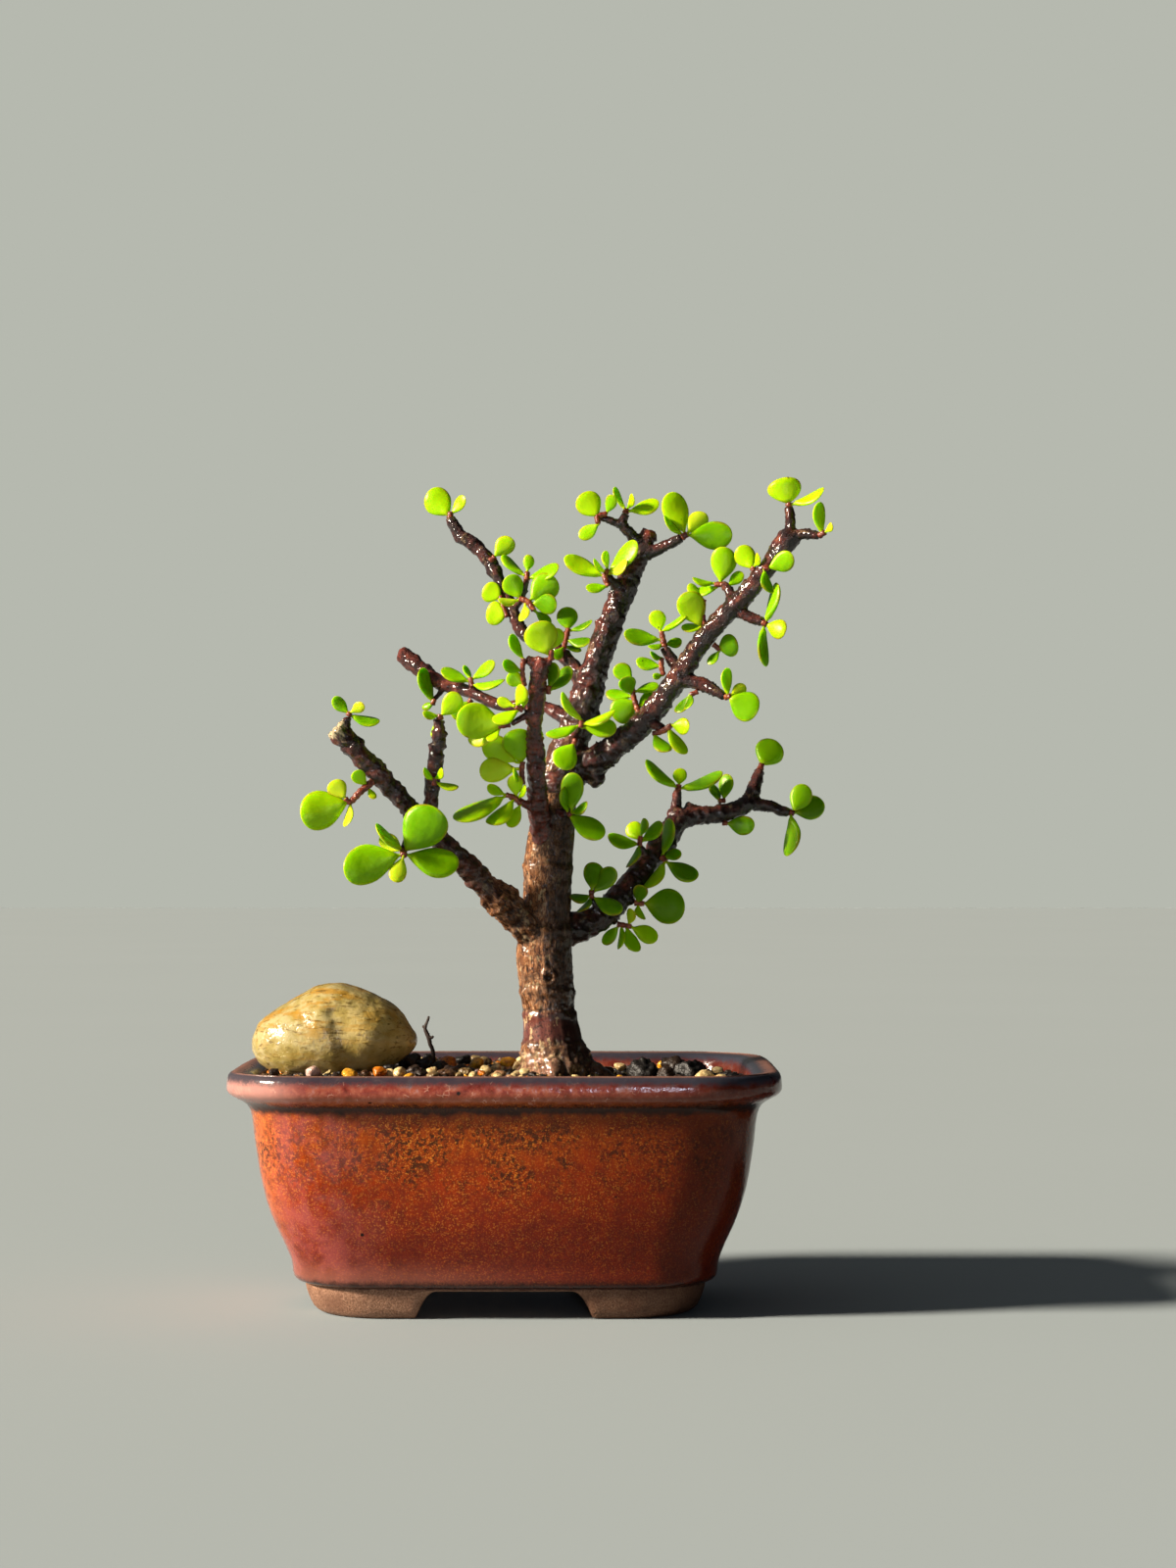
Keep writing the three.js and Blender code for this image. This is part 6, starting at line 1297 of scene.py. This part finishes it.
def bark_rise(point, grain, girth, limb):
    """How far the bark stands out at a point, in mm, and how deep in a crease it lies."""
    old = eased(girth, YOUNG_GIRTH, OLD_GIRTH)
    if limb == 0:
        low, high = POLISH
        bare = eased(point.z, low, low + 1) * (1 - eased(point.z, high - 1, high))
        old *= 1 - 0.9 * bare
    lengthways = Vector((grain[0], grain[1], grain[2] * 0.16 + 31 * limb))
    splits = abs(noise.noise(lengthways * 0.6)) + 0.5 * abs(noise.noise(lengthways * 1.3))
    flakes = noise.noise(point * 0.5)
    rise = old * (0.34 * min(1.0, 3.2 * splits) - 0.3 + 0.3 * flakes)
    nodes, crease = node_relief(point, grain, girth, limb)
    if limb:
        return rise + nodes, crease
    young = 1 - eased(girth, *RINGED_TRUNK)
    rings, cracks = trunk_relief(point, grain)
    return (rise + (1 - young) * rings + young * nodes,
            max((1 - young) * cracks, young * crease))


def near_ends(points, ends):
    """How near each point is to one of some branch ends: 1 up to 1.7 mm away, 0 from 4.5."""
    near = np.zeros(len(points))
    for x, z, depth, branch in ends:
        spot = np.array(place(x, z, depth, LEANS[branch]))
        far = np.sqrt(((points - spot) ** 2).sum(1))
        near = np.maximum(near, np.clip(1.6 - far / 2.8, 0, 1))
    return near


def per_limb(table, usual, limb):
    """One value for each point, by the branch it lies on."""
    values = np.array([table.get(branch, usual) for branch, _ in limb_paths()])
    return values[limb.astype(int)]


def vertex_rows(piece, field):
    """A field of every vertex, such as where it is, in one row each."""
    flat = np.zeros(len(piece.data.vertices) * 3, dtype=np.float32)
    piece.data.vertices.foreach_get(field, flat)
    return flat.reshape(-1, 3)


def make_wood(material):
    """All the limbs grown into one surface, with bark that follows the grain."""
    body = Body()
    for branch, path in limb_paths():
        line = smooth_path(path, LEANS[branch])
        sides = 20 if path[0][2] > 9 else 14
        body.loft(tube_rings(line, sides, extra=0.08))
    grown = body.piece("bark_skin", [material])
    remesh = grown.modifiers.new("grown together", "REMESH")
    remesh.mode = "VOXEL"
    remesh.voxel_size = VOXEL * MM
    remesh.use_smooth_shade = True
    soften = grown.modifiers.new("soften", "SMOOTH")
    soften.factor = 0.5
    soften.iterations = 3
    grown = flattened(grown, "bark_skin")

    points = vertex_rows(grown, "co") / MM - np.array(PLACE)
    normals = vertex_rows(grown, "normal")
    grain, girth, limb = place_on_wood(points)
    girth = girth + per_limb(EARLY_BARK, 0.0, limb)
    relief = np.array([
        bark_rise(Vector(p), g, r, n) for p, g, r, n in zip(points, grain, girth, limb)])
    moved = points + normals * relief[:, :1]
    placed = (moved + np.array(PLACE)) * MM
    grown.data.vertices.foreach_set("co", placed.astype(np.float32).ravel())
    grown.data.update()
    # how much painted shade each point gets, by the way its surface faces
    turned = np.clip((normals @ SHADED_SIDE - SHADE_FROM) / (SHADE_TO - SHADE_FROM), 0, 1)
    set_attribute(grown, "grain", grain, "FLOAT_VECTOR")
    for name, values in (
            ("girth", girth),
            ("rise", relief[:, 0]),
            ("crease", relief[:, 1]),
            ("painted_shade", turned * per_limb(SHADE_STRENGTH, 1.0, limb)),
            ("pale_end", near_ends(points, PALE_ENDS)),
            ("red_end", np.maximum(near_ends(points, RED_ENDS), per_limb(FLUSH, 0.0, limb)))):
        set_attribute(grown, name, values)
    return grown


# Materials. Pattern scales are written as 1 / (size in mm).

def start_material(name):
    """An empty material: a way to add its nodes, a way to set its skin and get it, and
    Object coordinates in millimetres round the pot's middle."""
    material = bpy.data.materials.new(name)
    material.use_nodes = True
    tree = material.node_tree
    tree.nodes.clear()
    skin = tree.nodes.new("ShaderNodeBsdfPrincipled")
    out = tree.nodes.new("ShaderNodeOutputMaterial")
    tree.links.new(skin.outputs[0], out.inputs[0])
    add = partial(add_node, tree)

    def finish(**looks):
        for field, value in looks.items():
            feed(tree, skin.inputs[field.replace("_", " ")], value)
        return material

    spot = add(MAP, {
        "Vector": add("ShaderNodeTexCoord", out="Object"),
        "Location": -PLACE,
        "Scale": (1 / MM, 1 / MM, 1 / MM),
    })
    return add, finish, spot


def share_of(add, *fades):
    """How much of something shows: the product of its fades. A fade is a number, a share
    made before, or (what it reads, where it starts, where it ends), eased from 0 to 1 or
    from and to two more numbers."""
    share = None
    for fade in fades:
        if isinstance(fade, tuple):
            read, start, end, *span = fade
            least, most = span or (0.0, 1.0)
            fade = add(RANGE, {VALUE: read, FROM: start, TO: end, LEAST: least, MOST: most},
                       **EASED)
        share = fade if share is None else add(MATH, {0: share, 1: fade}, **TIMES)
    return share


def cover(add, skin, layers):
    """Lays colours over a skin in turn: each layer is its colour, then its fades."""
    for shade, *fades in layers:
        high = colour(shade) if isinstance(shade, str) else shade
        skin = add(MIX, {SHARE: share_of(add, *fades), LOW: skin, HIGH: high}, **COLOURS)
    return skin


def waxy_leaf():
    """Succulent leaf skin: smooth and waxy, lime where young and deep green where old, with
    a thin yellow to red rim, faint mottling and a soft glow where light passes."""
    add, finish, spot = start_material("waxy_leaf")
    youth, rim, along = (
        add(ATTRIBUTE, out="Fac", attribute_name=name) for name in ("youth", "rim_mm", "along"))
    mottle = add(NOISE, {"Vector": spot, "Scale": 1 / 3.0, "Detail": 3})
    patches = add(NOISE, {"Vector": spot, "Scale": 1 / 5.0})
    dents = add(NOISE, {"Vector": spot, "Scale": 1 / 3.5})
    scars = add(CELLS, {"Vector": spot, "Scale": 1 / 6.0})
    shade = add(MATH, {0: mottle, 1: 0.2, 2: add(MATH, {0: youth, 1: -0.1})}, **TIMES_PLUS)
    green = add(RAMP, {0: shade}, stops=(
        (0.0, "#548400"), (0.25, "#6aa400"), (0.5, "#86c000"), (0.75, "#a6d204"),
        (1.0, "#c3db24")))
    rim_colour = cover(add, colour("#bccb18"), [("#a4561e", (patches, 0.45, 0.62))])
    green = cover(add, green, [
        # paler and yellower towards the stalk
        ("#a9bd0a", (along, 0.0, 0.32, 0.55, 0.0)),
        # the rim, from the middle of the leaf on
        (rim_colour, (rim, 0.1, 0.9, 0.5, 0.0), (along, 0.3, 0.75)),
        # a few dark pin-point scars, some 6 mm apart
        ("#2b2410", (scars, 0.035, 0.055, 0.85, 0.0)),
    ])
    return finish(
        Base_Color=green,
        Roughness=add(RANGE, {VALUE: mottle, LEAST: 0.22, MOST: 0.38}),
        IOR=1.42,
        Specular_IOR_Level=0.36,
        Specular_Tint=(1.0, 1.0, 0.5, 1.0),
        Subsurface_Weight=0.6,
        Subsurface_Radius=(0.5, 1.0, 0.06),
        Subsurface_Scale=2.2 * MM,
        Normal=add(BUMP, {"Height": dents, "Distance": 0.25 * MM}),
    )


def young_stem():
    """Young twig skin: smooth and red-brown, mottled paler, with a dull shine."""
    add, finish, spot = start_material("young_stem")
    patches = add(NOISE, {"Vector": spot, "Scale": 1 / 1.2, "Detail": 3})
    tooth = add(NOISE, {"Vector": spot, "Scale": 1 / 0.6, "Detail": 3})
    return finish(
        Base_Color=add(RAMP, {0: patches}, stops=(
            (0.3, "#4a1a12"), (0.5, "#7c3420"), (0.7, "#a86238"))),
        Roughness=0.3,
        IOR=1.5,
        Normal=add(BUMP, {"Height": tooth, "Distance": 0.25 * MM}),
    )


def ringed_bark():
    """Jade bark, thin and waxy: dark maroon and wet-looking on the branches, copper brown
    and split lengthways on the old trunk, with pale flakes at cracks and cut ends."""
    add, finish, spot = start_material("ringed_bark")
    grain = add(ATTRIBUTE, out="Vector", attribute_name="grain")
    girth, rise, crease, pale_end, red_end, painted_shade = (
        add(ATTRIBUTE, out="Fac", attribute_name=name)
        for name in ("girth", "rise", "crease", "pale_end", "red_end", "painted_shade"))
    height = add(SPLIT, {0: spot}, out="Z")
    old = share_of(add, (girth, YOUNG_GIRTH, OLD_GIRTH))

    # fibres are 0.9 mm wide and three times as long, and bend round each other
    lengthways = add(MAP, {"Vector": grain, "Scale": (1.0, 1.0, 0.33)})
    fibres = add(NOISE, {"Vector": lengthways, "Scale": 1 / 0.9, "Detail": 6, "Roughness": 0.74,
                         "Distortion": 0.8})
    folds = add(NOISE, {"Vector": lengthways, "Scale": 1 / 1.6, "Detail": 3})
    patches = add(NOISE, {"Vector": spot, "Scale": 1 / 4.0, "Detail": 4, "Roughness": 0.6})
    small = add(NOISE, {"Vector": spot, "Scale": 1 / 1.1, "Detail": 4, "Roughness": 0.65})
    facets = add(NOISE, {"Vector": spot, "Scale": 1 / 1.2, "Detail": 2})
    young_skin = add(RAMP, {0: patches}, stops=(
        (0.3, "#140306"), (0.45, "#300b0a"), (0.58, "#5a2018"), (0.72, "#8e4a34")))
    old_skin = add(RAMP, {0: fibres}, stops=(
        (0.3, "#1c0b05"), (0.42, "#4e2812"), (0.52, "#9a6237"), (0.62, "#cc9c72"),
        (0.76, "#e8cca4")))

    # bare waxy skin low on the trunk, above the flaky foot
    waver = add(MATH, {0: patches, 1: 5.0, 2: add(MATH, {0: height, 1: -2.5})}, **TIMES_PLUS)
    low, high = POLISH
    bare = share_of(add, (waver, low - 1.5, low), (waver, high - 1, high + 0.5, 1.0, 0.0), old)
    waxy = cover(add, colour("#30101a"), [("#7a3a34", patches)])
    foot = share_of(add, (waver, COLLAR_TOP - 3, COLLAR_TOP, 0.65, 0.0))

    # pale flakes lie along the creases, and thickest on the foot
    flaking = share_of(
        add,
        add(NOISE, {"Vector": lengthways, "Scale": 1 / 1.2, "Detail": 3, "Roughness": 0.6}),
        add(NOISE, {"Vector": spot, "Scale": 1 / 3.5, "Detail": 2}))
    near_crease = add(MATH, {0: foot, 1: 0.13, 2: share_of(add, crease, 0.05)}, **TIMES_PLUS)
    flaky = add(MATH, {0: flaking, 1: near_crease})
    most_flaky = add(RANGE, {VALUE: old, LEAST: 0.3, MOST: 0.85})

    # cracks, splits and creases are nearly black
    deep = add(MATH, {
        0: share_of(add, (rise, -0.45, -0.2, 0.7, 0.0)),
        1: share_of(add, old, (fibres, 0.41, 0.34, 0.0, 0.9))}, **LARGER)
    dark = add(MATH, {0: deep, 1: share_of(add, crease, 0.45)}, **LARGER)
    ragged = add(MATH, {0: flaking, 1: 1.6, 2: -0.4}, **TIMES_PLUS)
    base = cover(add, young_skin, [
        (old_skin, old),
        # worn greyer in patches on the trunk
        ("#5b4636", (patches, 0.48, 0.62, 0.0, 0.55), old),
        (waxy, bare, 0.85),
        ("#a87c62", foot),
        ("#c4a67c", (flaky, 0.335, 0.385, 0.0, most_flaky)),
        ("#140806", dark),
        # painted shade: the side turned away from the key light is darker
        ("#140a07", (painted_shade, 0.0, 1.0, 0.0, 0.8)),
        # cut ends: dry and cream, or healed and red
        ("#d9c49b", (add(MATH, {0: pale_end, 1: ragged}), 0.42, 0.62)),
        ("#8c3b2b", (add(MATH, {0: red_end, 1: ragged}), 0.3, 0.9, 0.0, 0.85)),
        # darker in the low places between small hard lumps
        ("#140806", (small, 0.48, 0.36, 0.0, 0.75)),
    ])

    # wrinkles along the grain, fibres and lumps, and few of them where the skin is bare
    rough = add(RANGE, {VALUE: bare, LEAST: 1.0, MOST: 0.15})
    uneven = None
    for height_of, lift in ((folds, 0.8), (fibres, 0.5), (small, 0.7)):
        under = {"Normal": uneven} if uneven else {}
        uneven = add(BUMP, {"Strength": rough, "Height": height_of, "Distance": lift * MM,
                            **under})
    # the wet-looking skin breaks its glints on facets some 1.2 mm wide
    wet = share_of(add, (waver, 80.0, 92.0, 0.9, 0.0))
    return finish(
        Base_Color=base,
        Roughness=0.5,
        IOR=1.5,
        Specular_IOR_Level=0.2,
        Coat_Weight=add(MATH, {0: wet, 1: add(RANGE, {VALUE: old, LEAST: 0.85, MOST: 0.4})},
                        **LARGER),
        Coat_Roughness=0.1,
        Coat_Normal=add(BUMP, {"Strength": rough, "Height": facets, "Distance": 0.4 * MM}),
        Normal=uneven,
    )


def glazed_stoneware():
    """Iron-red glaze over stoneware: glossy and rust red, breaking to orange specks where it
    is thin and to blue-black at the rim and the grooves, with painted shade in the grooves, over
    bare brown clay feet."""
    add, finish, spot = start_material("glazed_stoneware")
    across = add(SPLIT, {0: spot})
    height = across.node.outputs["Z"]
    drift = add(NOISE, {"Vector": spot, "Scale": 1 / 26.0})
    clouds = add(NOISE, {"Vector": spot, "Scale": 1 / 9.0, "Detail": 4, "Roughness": 0.6})
    wisps = add(NOISE, {"Vector": spot, "Scale": 1 / 3.2, "Detail": 5, "Roughness": 0.62})
    gaps = add(NOISE, {"Vector": spot, "Scale": 1 / 2.6, "Detail": 1})
    iron = add(NOISE, {"Vector": spot, "Scale": 1 / 1.3, "Detail": 4, "Roughness": 0.7})
    specks = add(NOISE, {"Vector": spot, "Scale": 1 / 0.5, "Detail": 4, "Roughness": 0.68})
    cells = add(CELLS, {"Vector": spot, "Scale": 1 / 1.7}, feature="DISTANCE_TO_EDGE")
    pits = add(CELLS, {"Vector": spot, "Scale": 1 / 14.0})
    waver = add(MATH, {0: drift, 1: 14.0, 2: add(MATH, {0: height, 1: -7.0})}, **TIMES_PLUS)
    # a height that wanders by 1 mm in wisps, and a little less in specks
    grainy = add(MATH, {0: specks, 1: 2.0, 2: add(MATH, {0: height, 1: -2.8})}, **TIMES_PLUS)
    ragged = add(MATH, {0: wisps, 1: 3.6, 2: grainy}, **TIMES_PLUS)

    # redder and darker below, rust above, with clouds of both
    level = add(RANGE, {VALUE: waver, FROM: 4.0, TO: 54.0})
    level = add(MATH, {0: clouds, 1: 0.5, 2: add(MATH, {0: level, 1: -0.25})}, **TIMES_PLUS)
    rust = add(RAMP, {0: level}, stops=(
        (0.0, "#62190b"), (0.3, "#7e2206"), (0.55, "#942e04"), (0.85, "#983e06")))
    # the rim's band is mottled wine red, and rusty along its foot
    rim = share_of(add, (height, 54.4, 56.4))
    wine = cover(
        add, add(RAMP, {0: wisps}, stops=(
            (0.33, "#562024"), (0.46, "#863933"), (0.58, "#a85c48"), (0.72, "#b88c8c"))),
        [("#985024", (ragged, 55.0, 59.0, 0.7, 0.0))])
    # where the glaze is nearly black: the rim's edge, and the grooves under the rim and
    # over the feet, where the dark is partly painted shade
    dark = share_of(add, (ragged, 59.4, 61.6, 0.0, 0.92), (height, 62.7, 62.79, 1.0, 0.0))
    for fades in (((ragged, 51.4, 53.4, 0.0, 0.9), (ragged, 54.2, 55.8, 1.0, 0.0)),
                  ((height, 3.9, 4.6, 0.0, 0.8), (ragged, 5.4, 7.4, 1.0, 0.0))):
        dark = add(MATH, {0: dark, 1: share_of(add, *fades)}, **LARGER)
    # nearly black glaze turning blue-grey towards the top of the rim: the glaze's own blue-black,
    # with a painted sheen over it
    black = add(MIX, {SHARE: add(RANGE, {VALUE: height, FROM: 56.0, TO: 60.0}),
                      LOW: colour("#1a100c"), HIGH: colour("#2b313c")}, **COLOURS)
    # painted shade towards the right end, which turns away from the key light
    painted_shade_right = share_of(add, (across, -16.0, 66.0, 0.0, 0.85))
    lip = share_of(add, (height, 62.3, 62.75, 0.0, 0.85))

    glaze = cover(add, rust, [
        # a painted highlight of the key light round the left end: lighter and more orange
        ("#cc6a38", (across, -53.0, -65.0, 0.0, 0.65)),
        ("#58170a", (wisps, 0.42, 0.62, 0.0, 0.5)),
        # golden specks where the glaze broke, thickest in the upper half
        ("#d6862c", (specks, 0.54, 0.61), (clouds, 0.35, 0.6, 0.35, 1.0),
         (waver, 6.0, 44.0, 0.25, 0.85)),
        # dark iron flecks in a drifting belt under the rim
        ("#2a1a0a", (clouds, 0.36, 0.54), (iron, 0.49, 0.56, 0.0, 0.85), (waver, 24.0, 40.0),
         (height, 47.0, 53.0, 1.0, 0.12)),
        # darker speckle low down
        ("#3a120c", (specks, 0.5, 0.4, 0.0, 0.5), (waver, 30.0, 6.0, 0.3, 1.0)),
        # a painted rosy reflection left of the middle, but not on the left end itself
        ("#a0504e", (across, -24.0, -48.0), (across, -56.0, -65.0, 1.0, 0.0),
         (clouds, 0.36, 0.66, 0.0, 0.58)),
        # a dusty rose hem over the feet, which fades to the right
        ("#88584a", (ragged, 15.0, 6.0, 0.0, 0.6), (across, 30.0, -46.0, 0.1, 1.0)),
        (wine, rim, 0.85),
        # short pale crackle marks on the rim
        ("#d8a690", (cells, 0.02, 0.07, 0.5, 0.0), (gaps, 0.6, 0.66), rim),
        # a painted pearly pink reflection on the rim's left end
        ("#c49a92", (across, -48.0, -64.0, 0.0, 0.55), rim),
        # painted shade: darker towards the right end, away from the key light
        ("#3c1006", painted_shade_right),
        (black, dark),
        # the top of the rim is dry and brownish pink, with a blue-grey line at its inner edge
        (cover(add, colour("#5e3d34"), [("#9c6f5f", wisps)]), lip),
        # a few open pits, some 14 mm apart
        ("#1c0a06", (pits, 0.028, 0.045, 1.0, 0.0)),
    ])

    # bare clay under the glaze line
    line = add(MATH, {0: wisps, 1: 0.9, 2: add(MATH, {0: height, 1: -0.45})}, **TIMES_PLUS)
    bare = share_of(add, (line, 4.35, 4.75, 1.0, 0.0))
    # the bare clay gets the same painted shade towards the right end
    clay = cover(
        add, add(RAMP, {0: specks}, stops=((0.3, "#5a3c2e"), (0.5, "#8f6850"), (0.7, "#b98f76"))),
        [("#6b4735", (clouds, 0.4, 0.7, 0.0, 0.7)), ("#301c13", painted_shade_right)])

    dry = add(MATH, {0: bare, 1: share_of(add, lip, 0.45)}, **LARGER)
    shine = add(RANGE, {VALUE: wisps, FROM: 0.3, TO: 0.7, LEAST: 0.07, MOST: 0.24})
    # the rim is the glossiest, and the right end the dullest
    gloss = add(RANGE, {VALUE: painted_shade_right, LEAST: 0.24, MOST: 0.08})
    peel = add(BUMP, {
        "Height": add(NOISE, {"Vector": spot, "Scale": 1 / 1.8}), "Distance": 0.1 * MM})
    return finish(
        Base_Color=cover(add, glaze, [(clay, bare)]),
        Roughness=add(MATH, {0: dry, 1: 0.55, 2: shine}, **TIMES_PLUS),
        IOR=1.5,
        Specular_IOR_Level=add(MATH, {0: rim, 1: 0.2, 2: gloss}, **TIMES_PLUS),
        Normal=add(BUMP, {
            "Height": share_of(add, specks, dry), "Distance": 0.3 * MM, "Normal": peel}),
    )


def polished_stone():
    """Water-worn quartzite: cream and ochre, streaked along its beds, wet-looking polish."""
    add, finish, spot = start_material("polished_stone")
    beds = add(MAP, {
        "Vector": spot, "Rotation": (0.0, -0.42, 0.15), "Scale": (0.22, 0.6, 1.0)})
    streaks = add(NOISE, {"Vector": beds, "Scale": 1 / 2.2, "Detail": 5, "Roughness": 0.6})
    veins = add(NOISE, {"Vector": beds, "Scale": 1 / 0.9, "Detail": 4, "Roughness": 0.6})
    patches = add(NOISE, {"Vector": spot, "Scale": 1 / 7.0, "Detail": 5, "Roughness": 0.65})
    across = add(SPLIT, {0: spot})
    height = across.node.outputs["Z"]
    cream = add(RAMP, {0: patches}, stops=(
        (0.28, "#86763a"), (0.42, "#a08e50"), (0.55, "#b4a676"), (0.72, "#a69048")))
    return finish(
        Base_Color=cover(add, cream, [
            # ochre beds, strongest high up
            ("#a8781c", (streaks, 0.46, 0.62, 0.0, 0.85), (height, 68.0, 78.0, 0.35, 1.0)),
            # painted light: lighter straw yellow towards the right end, in patches, where the
            # stone turns away from the key light
            ("#d0b262", (across, -54.0, -30.0), (patches, 0.4, 0.6, 0.35, 0.75)),
            # thin brown veins along the beds
            ("#5e4718", (veins, 0.54, 0.66, 0.0, 0.7)),
        ]),
        Roughness=0.22,
        IOR=1.54,
        Normal=add(BUMP, {"Height": patches, "Distance": 0.7 * MM}),
    )


def moist_grit():
    """Bonsai grit: lava and bark crumbs, dark and moist, with cream, ochre and orange
    gravel."""
    add, finish, spot = start_material("moist_grit")
    pick = add(ATTRIBUTE, out="Fac", attribute_name="pick")
    hue = add(RAMP, {0: pick}, stops=(
        (0.0, "#120d0a"), (0.28, "#2c1d13"), (0.48, "#553a22"), (0.6, "#84704a"),
        (0.7, "#a8805c"), (0.78, "#dcc48c"), (0.87, "#dca02e"), (0.92, "#cf7414"),
        (0.97, "#e6c2b6")))
    hue.node.color_ramp.interpolation = "CONSTANT"
    stains = add(NOISE, {"Vector": spot, "Scale": 1 / 1.4, "Detail": 4, "Roughness": 0.65})
    tooth = add(NOISE, {"Vector": spot, "Scale": 1 / 0.6, "Detail": 3})
    veil = share_of(add, (stains, 0.42, 0.66, 0.0, 0.75))
    return finish(
        Base_Color=add(MIX, {SHARE: veil, LOW: hue, HIGH: colour("#8a5a34")},
                       blend_type="MULTIPLY", **COLOURS),
        Roughness=add(RANGE, {VALUE: pick, FROM: 0.4, TO: 0.8, LEAST: 0.5, MOST: 0.22}),
        IOR=1.5,
        Normal=add(BUMP, {"Height": tooth, "Distance": 0.25 * MM}),
    )


def plain_skin(name, low, high, size_mm, rough, bump_mm):
    """A surface of two close colours in patches, with a fine tooth."""
    add, finish, spot = start_material(name)
    patches = add(NOISE, {"Vector": spot, "Scale": 1 / size_mm, "Detail": 3})
    tooth = add(NOISE, {"Vector": spot, "Scale": 3 / size_mm, "Detail": 3})
    return finish(
        Base_Color=cover(add, colour(low), [(high, patches)]),
        Roughness=rough,
        Normal=add(BUMP, {"Height": tooth, "Distance": bump_mm * MM}),
    )


# Camera, floor and light

SENSOR = 36.0
PHOTO_HIGH = 1600
FOCAL_PIXELS = 2926
HORIZON_BELOW_MIDDLE = 91      # pixels of the photograph
FLOOR_REACH = 9000


def make_camera():
    view = bpy.data.cameras.new("front_view")
    view.sensor_width = SENSOR
    view.lens = SENSOR * FOCAL_PIXELS / PHOTO_HIGH
    view.shift_y = HORIZON_BELOW_MIDDLE / PHOTO_HIGH
    view.clip_start = 0.02
    camera = bpy.data.objects.new("front_view", view)
    camera.location = (EYE + PLACE) * MM
    camera.rotation_euler = (math.pi / 2, 0, 0)
    bpy.context.scene.collection.objects.link(camera)
    bpy.context.scene.camera = camera


def make_floor():
    """A wide plain floor, pale and matt."""
    corners = [(x * FLOOR_REACH, y * FLOOR_REACH, TABLE)
               for x, y in ((-1, -1), (1, -1), (1, 1), (-1, 1))]
    matt = plain_skin("pale_floor", "#9ba6ab", "#9ea9ae", 400.0, 0.9, 0.0)
    floor = new_piece("floor", corners, [(0, 1, 2, 3)], [matt], smooth=False)


def make_light(name, kind, spot, power, tint, **form):
    """A soft light at a spot in metres, that shines on the tree."""
    lamp = bpy.data.lights.new(name, kind)
    lamp.energy = power
    lamp.color = colour(tint)[:3]
    for field, value in form.items():
        setattr(lamp, field, value)
    light = bpy.data.objects.new(name, lamp)
    light.location = spot
    light.rotation_euler = (-Vector(spot)).to_track_quat("-Z", "Y").to_euler()
    bpy.context.scene.collection.objects.link(light)


def light_studio():
    """A key light from the left, a small cool window in front, and a pale surround that dims to
    the right.
    """
    world = bpy.data.worlds.new("studio")
    world.use_nodes = True
    tree = world.node_tree
    tree.nodes.clear()
    add = partial(add_node, tree)
    seen = add("ShaderNodeBackground", {"Color": colour("#b6b9af"), "Strength": 1.0})
    # the surround is darker on the right, so that shapes turn into shade
    sideways = add(SPLIT, {0: add("ShaderNodeTexCoord", out="Generated")})
    around = add("ShaderNodeBackground", {
        "Color": colour("#d2d3d2"),
        "Strength": add(RANGE, {VALUE: sideways, FROM: -0.7, TO: 0.7, LEAST: 0.26, MOST: 0.0})})
    rays = add("ShaderNodeLightPath", out="Is Camera Ray")
    add("ShaderNodeOutputWorld", {
        "Surface": add("ShaderNodeMixShader", {0: rays, 1: around, 2: seen})})
    bpy.context.scene.world = world
    make_light("key_left", "SUN", (-0.86, -0.3, 0.42), 9.3, "#fff1dc", angle=math.radians(9))
    make_light("catch_light", "AREA", (0.1, -0.9, 0.1), 0.5, "#dfe8ff", size=0.05)


# The whole object

bpy.context.scene.view_settings.view_transform = "Standard"

make_camera()
make_floor()
light_studio()

leaf_skins = [waxy_leaf(), young_stem()]
net_plastic = plain_skin("moulded_net", "#141414", "#1f1f1f", 2.0, 0.45, 0.03)
dark_loam = plain_skin("dark_loam", "#1a120d", "#2c1f16", 2.0, 0.85, 0.4)
dry_stalk = plain_skin("dry_stalk_skin", "#120c09", "#3a2418", 1.5, 0.7, 0.1)
pot = make_pot(glazed_stoneware())
left_net = make_drain_net("left", -30, net_plastic)
right_net = make_drain_net("right", 30, net_plastic)
bed = make_soil_bed(dark_loam)

# Each finished piece, the node of the solid it takes the place of, and its material's slot.
finished = [
    (pot, "pot", "glaze"),
    (left_net, "drainage_mesh_left", "net"),
    (right_net, "drainage_mesh_right", "net"),
    (bed, "soil", "soil"),
    (make_grit(bed, moist_grit()), "soil", "soil"),
    (make_stone(polished_stone()), "river_stone", "stone"),
    (make_stalk(dry_stalk), "dry_stalk", "stalk"),
    (make_wood(ringed_bark()), "trunk_and_branches", "bark"),
]
for branch, shoots in SHOOTS:
    for name, shade, path, leaves in shoots:
        shoot = make_shoot(name, shade, path, leaves, LEANS[branch], leaf_skins)
        finished.append((shoot, name, shade))

for piece, node, slot in finished:
    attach(piece, "root")
    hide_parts(node)
